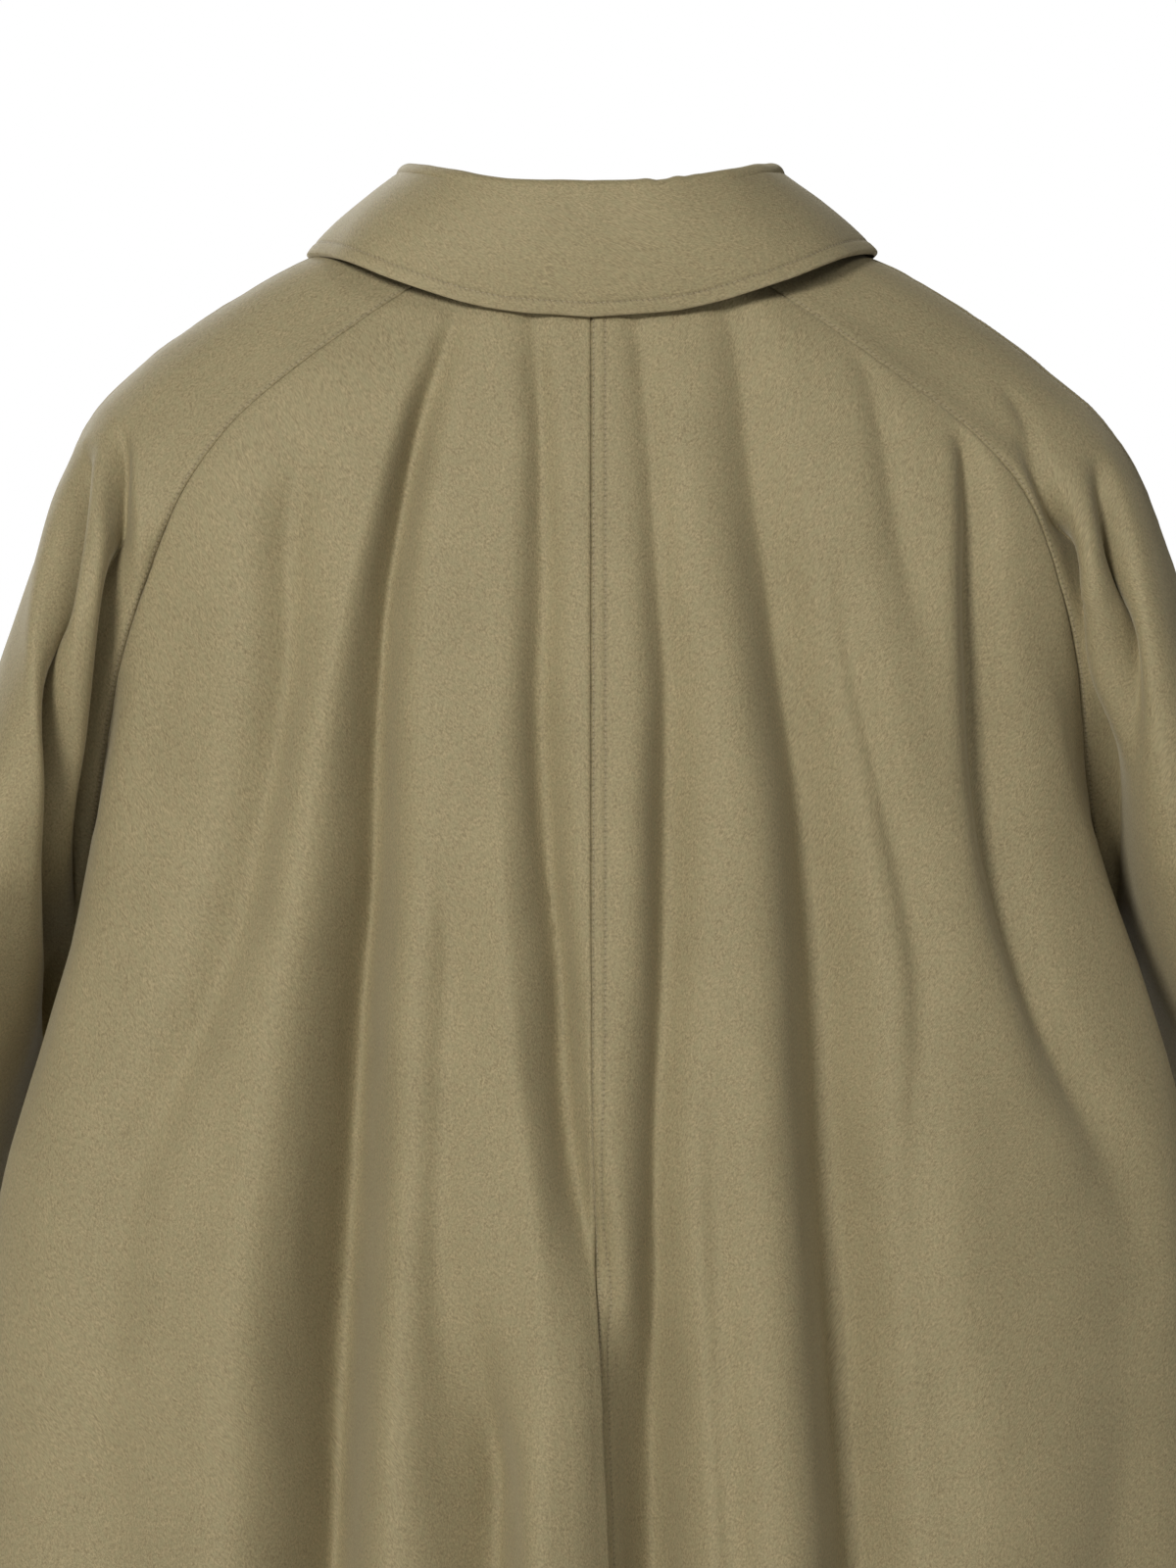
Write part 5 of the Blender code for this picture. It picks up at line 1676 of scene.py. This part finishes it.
    def surface(self) -> BVHTree:
        """The outside of body and sleeves, to lay other pieces on."""
        verts, faces, offset = [], [], 0
        for shell in self.shells.values():
            rows, columns = shell.grid.shape[:2]
            at = offset + np.arange(rows * columns).reshape(rows, columns)
            verts.append(shell.grid.reshape(-1, 3))
            faces += quads(at).tolist()
            offset += rows * columns
        return BVHTree.FromPolygons(np.concatenate(verts).tolist(), faces)


@dataclass
class Collar:
    """The turned-down collar: a leaf that rolls over the fold, and the stand under it."""

    form: CoatForm
    wall: float = 2.6 * MM
    stand_wall: float = 2.0 * MM
    layer_gap: float = 0.45 * MM
    fold_roll: float = 4.2 * MM
    inside_drop: float = 11 * MM
    bulge: float = 3 * MM
    half_stations: int = 150
    roll_steps: int = 20
    leaf_steps: int = 60
    leaf_columns: int = 26
    stand_end: float = 178
    stand_columns: int = 8
    rest_gap: float = 1.6 * MM
    end_row: int = 7
    ends_from: float = 22 * MM
    fold_waver: float = 0.25 * MM
    pucker: float = 0.75 * MM
    pucker_turns: tuple = (-24.0, 13.0)
    lift_way: tuple = (0.8, 0.5)
    settle_most: float = 9 * MM
    settle_window: int = 15
    relief: tuple = (1.1 * MM, 0.35 * MM, 0.05 * MM)
    lifts: tuple = ((-86.0, 15.0, 4.2 * MM), (88.0, 10.0, 1.2 * MM), (-40.0, 16.0, 1.0 * MM))

    def turns(self) -> np.ndarray:
        """The turns of the collar's sections, from the right end round the back to the left end."""
        return np.linspace(-180, 180, 2 * self.half_stations + 1)

    def line(self, turns: np.ndarray, name: str) -> np.ndarray:
        """Points of the collar's fold or outer edge.

        Args:
            turns: Degrees from the centre back.
            name: "fold" or "edge".

        Returns:
            One point for each turn.
        """
        at = column(COLLAR_LINES, "turn", 1)
        x, y, z = (smooth(np.abs(turns), at, column(COLLAR_LINES, f"{name}_{axis}")) for axis in "xyz")
        return np.stack([x * np.where(turns < 0, -1, 1), y, z], axis=-1)

    @staticmethod
    def outward(line: np.ndarray) -> np.ndarray:
        """Level directions out of a line that runs round the neck from right to left."""
        along = np.gradient(line, axis=0)
        return unit(np.stack([-along[:, 1], along[:, 0], np.zeros(len(line))], axis=-1))

    def leaf(self, body: BVHTree) -> np.ndarray:
        """The middle of the leaf: inside seam, roll over the fold, and fall to the outer edge.

        Args:
            body: The cloth that the leaf lies on.

        Returns:
            Rows round the neck, with columns from the inside seam to the outer edge.
        """
        turns = self.turns()
        fold, edge = self.line(turns, "fold"), self.line(turns, "edge")
        out = self.outward(fold)
        middle, wide = self.pucker_turns
        pucker = self.pucker * np.exp(-(((turns - middle) / wide) ** 2))
        waver = self.fold_waver * ripple(turns / 9.0 + 40, turns * 0, 61)
        waver += (0.2 * self.fold_waver + pucker) * ripple(turns / 3.4 + 80, turns * 0, 62)
        fold = fold + UP * waver[:, None]
        centre = fold - UP * self.fold_roll
        columns = [centre - out * self.fold_roll - UP * (self.inside_drop - self.fold_roll)]
        for angle in np.radians(np.linspace(-90, 90, self.roll_steps + 1)):
            columns.append(centre + self.fold_roll * (math.sin(angle) * out + math.cos(angle) * UP))
        start = columns[-1]
        settle = self.settle(edge, out, body)[:, None]
        lifted = sum(high * np.exp(-(((turns - turn) / wide) ** 2)) for turn, wide, high in self.lifts)
        lifted = (self.lift_way[0] * out + self.lift_way[1] * UP) * lifted[:, None]
        for share in np.linspace(0, 1, self.leaf_steps + 1)[1:]:
            bulge = self.bulge * math.sin(math.pi * share)
            fall = start + (edge - start) * share + out * bulge
            columns.append(fall - out * settle * share**2 + lifted * share**3)
        return np.stack(columns, axis=1)

    def settle(self, edge: np.ndarray, out: np.ndarray, body: BVHTree) -> np.ndarray:
        """How far the leaf's edge moves in to lie on the cloth under it.

        Args:
            edge: The leaf's outer edge.
            out: Directions out of the neck.
            body: The cloth under it.

        Returns:
            A distance for each point of the edge.
        """
        gaps = []
        for point, way in zip(edge, out):
            hit = body.ray_cast(Vector(point), Vector(-way))
            near = body.find_nearest(Vector(point))
            gap = min(hit[3] if hit[0] is not None else 1.0, 3 * near[3])
            gaps.append(max(0.0, gap - self.wall / 2 - self.rest_gap))
        window = np.hanning(self.settle_window)
        wide = np.pad(np.minimum(gaps, self.settle_most), self.settle_window // 2, mode="edge")
        return np.convolve(wide, window / window.sum(), mode="valid")

    def make(self, body: BVHTree, cloth: bpy.types.Material, thread: bpy.types.Material) -> None:
        """Builds leaf, stand and stitches.

        Args:
            body: The cloth that the leaf lies on.
            cloth: The cloth's finish.
            thread: The thread's finish.
        """
        near_seam = np.array([0, 1.2, 3.0]) * MM
        middle = spread_columns(self.leaf(body), 2 * self.leaf_columns, near_seam, NEAR_AN_EDGE)
        between = len(middle) - 2 * len(NEAR_AN_EDGE)
        across = spread_columns(middle.transpose(1, 0, 2), between, NEAR_AN_EDGE, NEAR_AN_EDGE)
        middle = across.transpose(1, 0, 2)
        normals = -grid_normals(middle)
        shell = Shell(
            "collar_leaf", middle + normals * self.wall / 2, -1.0, self.wall, Finish.INSIDE,
            Finish.STITCHED_FREE, 700, through=normals,
        )
        shell.relief(*self.relief)
        add_cloth(shell, cloth)
        stitches = StitchRows("collar_stitches", seed=41)
        stitches.add(shell.stitch_line(False, INNER_ROW))
        facing = grid_normals(shell.grid) * shell.flip
        for row in (self.end_row, len(shell.grid) - 1 - self.end_row):
            points = shell.grid[row]
            stitches.add((points, facing[row]), self.ends_from, lengths(points)[-1] - INNER_ROW)
        stitches.make(thread)
        self.make_stand(cloth)

    def make_stand(self, cloth: bpy.types.Material) -> None:
        """Builds the stand, from the neck seam up to the leaf."""
        turns = np.clip(self.turns(), -self.stand_end, self.stand_end)
        fold = self.line(turns, "fold")
        out = self.outward(fold)
        top = fold - out * (self.fold_roll - self.wall / 2) - UP * (self.inside_drop + self.layer_gap)
        bottom = self.form.neck(turns) + UP * self.layer_gap
        shares = np.linspace(0, 1, self.stand_columns + 1)
        grid = np.stack([bottom + (top - bottom) * share for share in shares], axis=1)
        through = np.repeat(out[:, None], grid.shape[1], axis=1)
        shell = Shell(
            "collar_stand", grid, 1.0, self.stand_wall, Finish.INSIDE, Finish.INSIDE, 760, through=through
        )
        shell.flip = float(np.sign(np.sum(shell.normals * through, axis=-1).mean()))
        add_cloth(shell, cloth)


@dataclass
class Buttons:
    """Five four-hole buttons down the centre front, their thread, and their buttonholes."""

    heights: tuple = (-98 * MM, -232 * MM, -366 * MM, -500 * MM, -634 * MM)
    radius: float = 11.5 * MM
    thickness: float = 3.4 * MM
    rim: float = 2.2 * MM
    dish: float = 0.9 * MM
    edge: float = 0.7 * MM
    hole_radius: float = 1.05 * MM
    hole_offset: float = 2.2 * MM
    dish_slope: float = 1.6 * MM
    sides: int = 72
    hole_sides: int = 20
    sharp: float = math.radians(35)
    strand: float = 0.28 * MM
    strand_gap: float = 1.5
    strand_sides: int = 6
    strand_steps: int = 9
    thread_past: float = 0.15 * MM
    thread_arch: float = 0.5 * MM
    thread_end: float = 1.6 * MM
    thread_round: float = 0.12 * MM
    lip_gap: float = 1.05 * MM
    hole_length: float = 27 * MM
    hole_past_button: float = 3 * MM

    def profile(self) -> list:
        """Half a section of the button, rounded at its edges, with a dished middle."""
        points = [(0.0, 0.0)]
        for low, start in ((True, -90), (False, 0)):
            centre_z = self.edge if low else self.thickness - self.edge
            for angle in np.radians(np.linspace(start, start + 90, 5)):
                ring = self.radius - self.edge + self.edge * math.cos(angle)
                points.append((ring, centre_z + self.edge * math.sin(angle)))
        inner = self.radius - self.rim
        for share in np.linspace(0, 1, 6):
            drop = self.dish * float(smoothstep(share))
            points.append((inner - self.dish_slope * share, self.thickness - drop))
        points.append((0.0, self.thickness - self.dish))
        return points

    def disc(self) -> bpy.types.Mesh:
        """The button with its four holes."""
        work = bmesh.new()
        verts = [work.verts.new((r, 0, z)) for r, z in self.profile()]
        edges = [work.edges.new(pair) for pair in zip(verts, verts[1:])]
        bmesh.ops.spin(
            work, geom=verts + edges, cent=(0, 0, 0), axis=(0, 0, 1), angle=math.tau,
            steps=self.sides, use_merge=True,
        )
        bmesh.ops.remove_doubles(work, verts=work.verts[:], dist=1e-6)
        bmesh.ops.recalc_face_normals(work, faces=work.faces[:])
        blank = put_solid("button_blank", work)
        holes = bmesh.new()
        for x in (-1, 1):
            for y in (-1, 1):
                place = Matrix.Translation((x * self.hole_offset, y * self.hole_offset, self.thickness / 2))
                bmesh.ops.create_cone(
                    holes, cap_ends=True, segments=self.hole_sides, radius1=self.hole_radius,
                    radius2=self.hole_radius, depth=2 * self.thickness, matrix=place,
                )
        drill = put_solid("button_drill", holes)
        cut = blank.modifiers.new("holes", "BOOLEAN")
        cut.object = drill
        bpy.context.view_layer.update()
        mesh = bpy.data.meshes.new_from_object(blank.evaluated_get(bpy.context.evaluated_depsgraph_get()))
        for thing in (blank, drill):
            bpy.data.objects.remove(thing)
        mesh.shade_smooth()
        mesh.set_sharp_from_angle(angle=self.sharp)
        return mesh

    def thread_bars(self) -> bpy.types.Mesh:
        """The thread through the four holes: two bars of four strands each."""
        verts, faces = [], []
        sides, steps, strand = self.strand_sides, self.strand_steps, self.strand
        for bar in (-1, 1):
            for number in np.arange(4) - 1.5:
                off = number * strand * self.strand_gap
                offset = len(verts)
                for t in np.linspace(-1, 1, steps):
                    rise = self.thickness - self.dish + self.thread_arch * (1 - t**4)
                    rise -= self.thread_end if abs(t) == 1 else 0
                    for turn in np.arange(sides) * math.tau / sides:
                        verts.append((
                            t * (self.hole_offset + self.thread_past),
                            bar * self.hole_offset + off + strand * math.cos(turn),
                            rise + strand * math.sin(turn) - abs(number) * self.thread_round,
                        ))
                at = offset + np.arange(steps * sides).reshape(steps, sides)
                faces += quads(np.concatenate([at, at[:, :1]], axis=1)).tolist()
                faces += [at[0].tolist(), at[-1, ::-1].tolist()]
        mesh = bpy.data.meshes.new("button_thread")
        mesh.from_pydata(verts, [], faces)
        mesh.shade_smooth()
        return mesh

    def make(self, front: Shell, horn: bpy.types.Material, thread: bpy.types.Material) -> None:
        """Builds the buttons, their thread and their buttonholes.

        Args:
            front: The right front's cloth, which the buttons close.
            horn: The buttons' finish.
            thread: The thread's finish.
        """
        disc, bars = self.disc(), self.thread_bars()
        disc.materials.append(horn)
        bars.materials.append(thread)
        line = self.centre_line(front)
        for number in range(1, len(self.heights) + 1):
            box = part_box(f"button_{number}")
            centre = (Vector(box[0]) + Vector(box[1])) / 2
            ends = [centre.z + self.radius, centre.z - self.radius]
            upper, lower = np.interp(ends, line[:, 2], line[:, 1]).tolist()
            out = Vector((0, -1, (upper - lower) / (2 * self.radius))).normalized()
            place = centre - out * self.thickness / 2
            turn = out.to_track_quat("Z", "Y").to_matrix().to_4x4()
            for name, shape, slot in ((f"button_{number}_horn", disc, "button_horn"),
                                      (f"button_{number}_thread", bars, "coat_cloth")):
                piece = put(name, shape)
                piece.matrix_world = Matrix.Translation(place) @ turn
                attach(piece, "root")
                if shape is disc:
                    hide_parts(f"button_{number}")
        self.make_holes(front, thread)
        LOG.info("buttons: %d, with thread and buttonholes", len(self.heights))

    @staticmethod
    def centre_line(front: Shell) -> np.ndarray:
        """Points down the centre front of the cloth, from hem to neck."""
        points = []
        for row in front.grid[::-1]:
            order = np.argsort(row[:, 0])
            points.append(read_line(0.0, row[order, 0], row[order]))
        return np.array(points)

    def make_holes(self, front: Shell, thread: bpy.types.Material) -> None:
        """Builds the stitched buttonholes on the right front.

        Args:
            front: The right front's cloth.
            thread: The thread's finish.
        """
        holes = StitchRows(
            "buttonhole_stitches", pitch=0.62 * MM, length=2.0 * MM, thread_width=0.62 * MM,
            thread_height=0.6 * MM, sunk=0.1 * MM, slant=90, seed=51,
        )
        normals = grid_normals(front.grid) * front.flip
        for height in self.heights:
            row = int(np.argmin(np.abs(front.grid[:, len(NEAR_AN_EDGE), 2] - height)))
            points, outs = front.grid[row], normals[row]
            order = np.argsort(points[:, 0])
            reach = np.linspace(self.hole_past_button, self.hole_past_button - self.hole_length, 40)
            line = read_line(reach, points[order, 0], points[order])
            out = unit(read_line(reach, points[order, 0], outs[order]))
            for way in (-1, 1):
                holes.add((line + way * UP * self.lip_gap, out))
        holes.make(thread)


# The studio


class Lamp(NamedTuple):
    """A soft square light: its name, its place, the length of its sides and its power in watts."""

    name: str
    place: tuple
    size: float
    power: float


@dataclass
class Studio:
    """A pale floor, soft light from the camera's upper left, and the camera behind the coat."""

    lens: float = 102.0
    sensor: float = 24.0
    camera_at: tuple = (0.0015, 3.54, -0.270)
    floor_drop: float = 60 * MM
    floor_half: float = 6.0
    ambient: float = 0.06
    lamps: tuple = (
        Lamp("key_light", (1.5, 3.2, 1.25), 0.9, 112.0),
        Lamp("fill_light", (-1.5, 1.9, 2.1), 1.2, 20.0),
        Lamp("front_light", (1.6, -3.0, 1.4), 2.4, 95.0),
    )
    aim: tuple = (0.0, 0.05, -0.35)

    def make(self, finish: bpy.types.Material) -> None:
        """Builds the floor, lights, background and camera."""
        self.make_floor(finish)
        for lamp in self.lamps:
            self.make_light(lamp)
        self.make_background()
        self.make_camera()
        bpy.context.scene.view_settings.view_transform = "Standard"

    def make_floor(self, finish: bpy.types.Material) -> None:
        """Builds a wide floor just under the hem."""
        height = CAD_BOX[0][2] - self.floor_drop
        half = self.floor_half
        mesh = bpy.data.meshes.new("floor")
        corners = [(-half, -half, height), (half, -half, height), (half, half, height), (-half, half, height)]
        mesh.from_pydata(corners, [], [(0, 1, 2, 3)])
        mesh.materials.append(finish)
        put("floor", mesh)

    def make_light(self, lamp: Lamp) -> None:
        """Adds a lamp that faces the coat."""
        glow = bpy.data.lights.new(lamp.name, "AREA")
        glow.size = lamp.size
        glow.energy = lamp.power
        light = put(lamp.name, glow)
        light.location = lamp.place
        light.rotation_euler = (Vector(self.aim) - Vector(lamp.place)).to_track_quat("-Z", "Y").to_euler()

    def make_background(self) -> None:
        """Sets a white background, whose light on the coat is softer than it looks."""
        world = bpy.data.worlds.new("studio")
        world.use_nodes = True
        tree = world.node_tree
        shade = tree.nodes["Background"]
        shade.inputs["Color"].default_value = (1, 1, 1, 1)
        rays = tree.nodes.new("ShaderNodeLightPath")
        strength = tree.nodes.new("ShaderNodeMapRange")
        strength.inputs["To Min"].default_value = self.ambient
        strength.inputs["To Max"].default_value = 1.0
        tree.links.new(rays.outputs["Is Camera Ray"], strength.inputs["Value"])
        tree.links.new(strength.outputs["Result"], shade.inputs["Strength"])
        bpy.context.scene.world = world

    def make_camera(self) -> None:
        """Adds the camera, level with the middle of the view and square to the back."""
        lens = bpy.data.cameras.new("camera")
        lens.sensor_fit = "VERTICAL"
        lens.sensor_height = self.sensor
        lens.lens = self.lens
        lens.dof.use_dof = False
        camera = put("camera", lens)
        camera.location = self.camera_at
        camera.rotation_euler = (math.pi / 2, 0, math.pi)
        bpy.context.scene.camera = camera


def main() -> None:
    """Builds the coat and its studio."""
    logging.basicConfig(level=logging.INFO, format="%(message)s")
    form = CoatForm()
    cloth, thread, horn = Gabardine().make(), SewingThread().make(), ButtonHorn().make()
    panels = Panels(form)
    panels.lay_out()
    panels.make(cloth)
    panels.sew(thread)
    Collar(form).make(panels.surface(), cloth, thread)
    Buttons().make(panels.shells["front_right"], horn, thread)
    Studio().make(PalePaper().make())


if __name__ == "__main__":
    main()
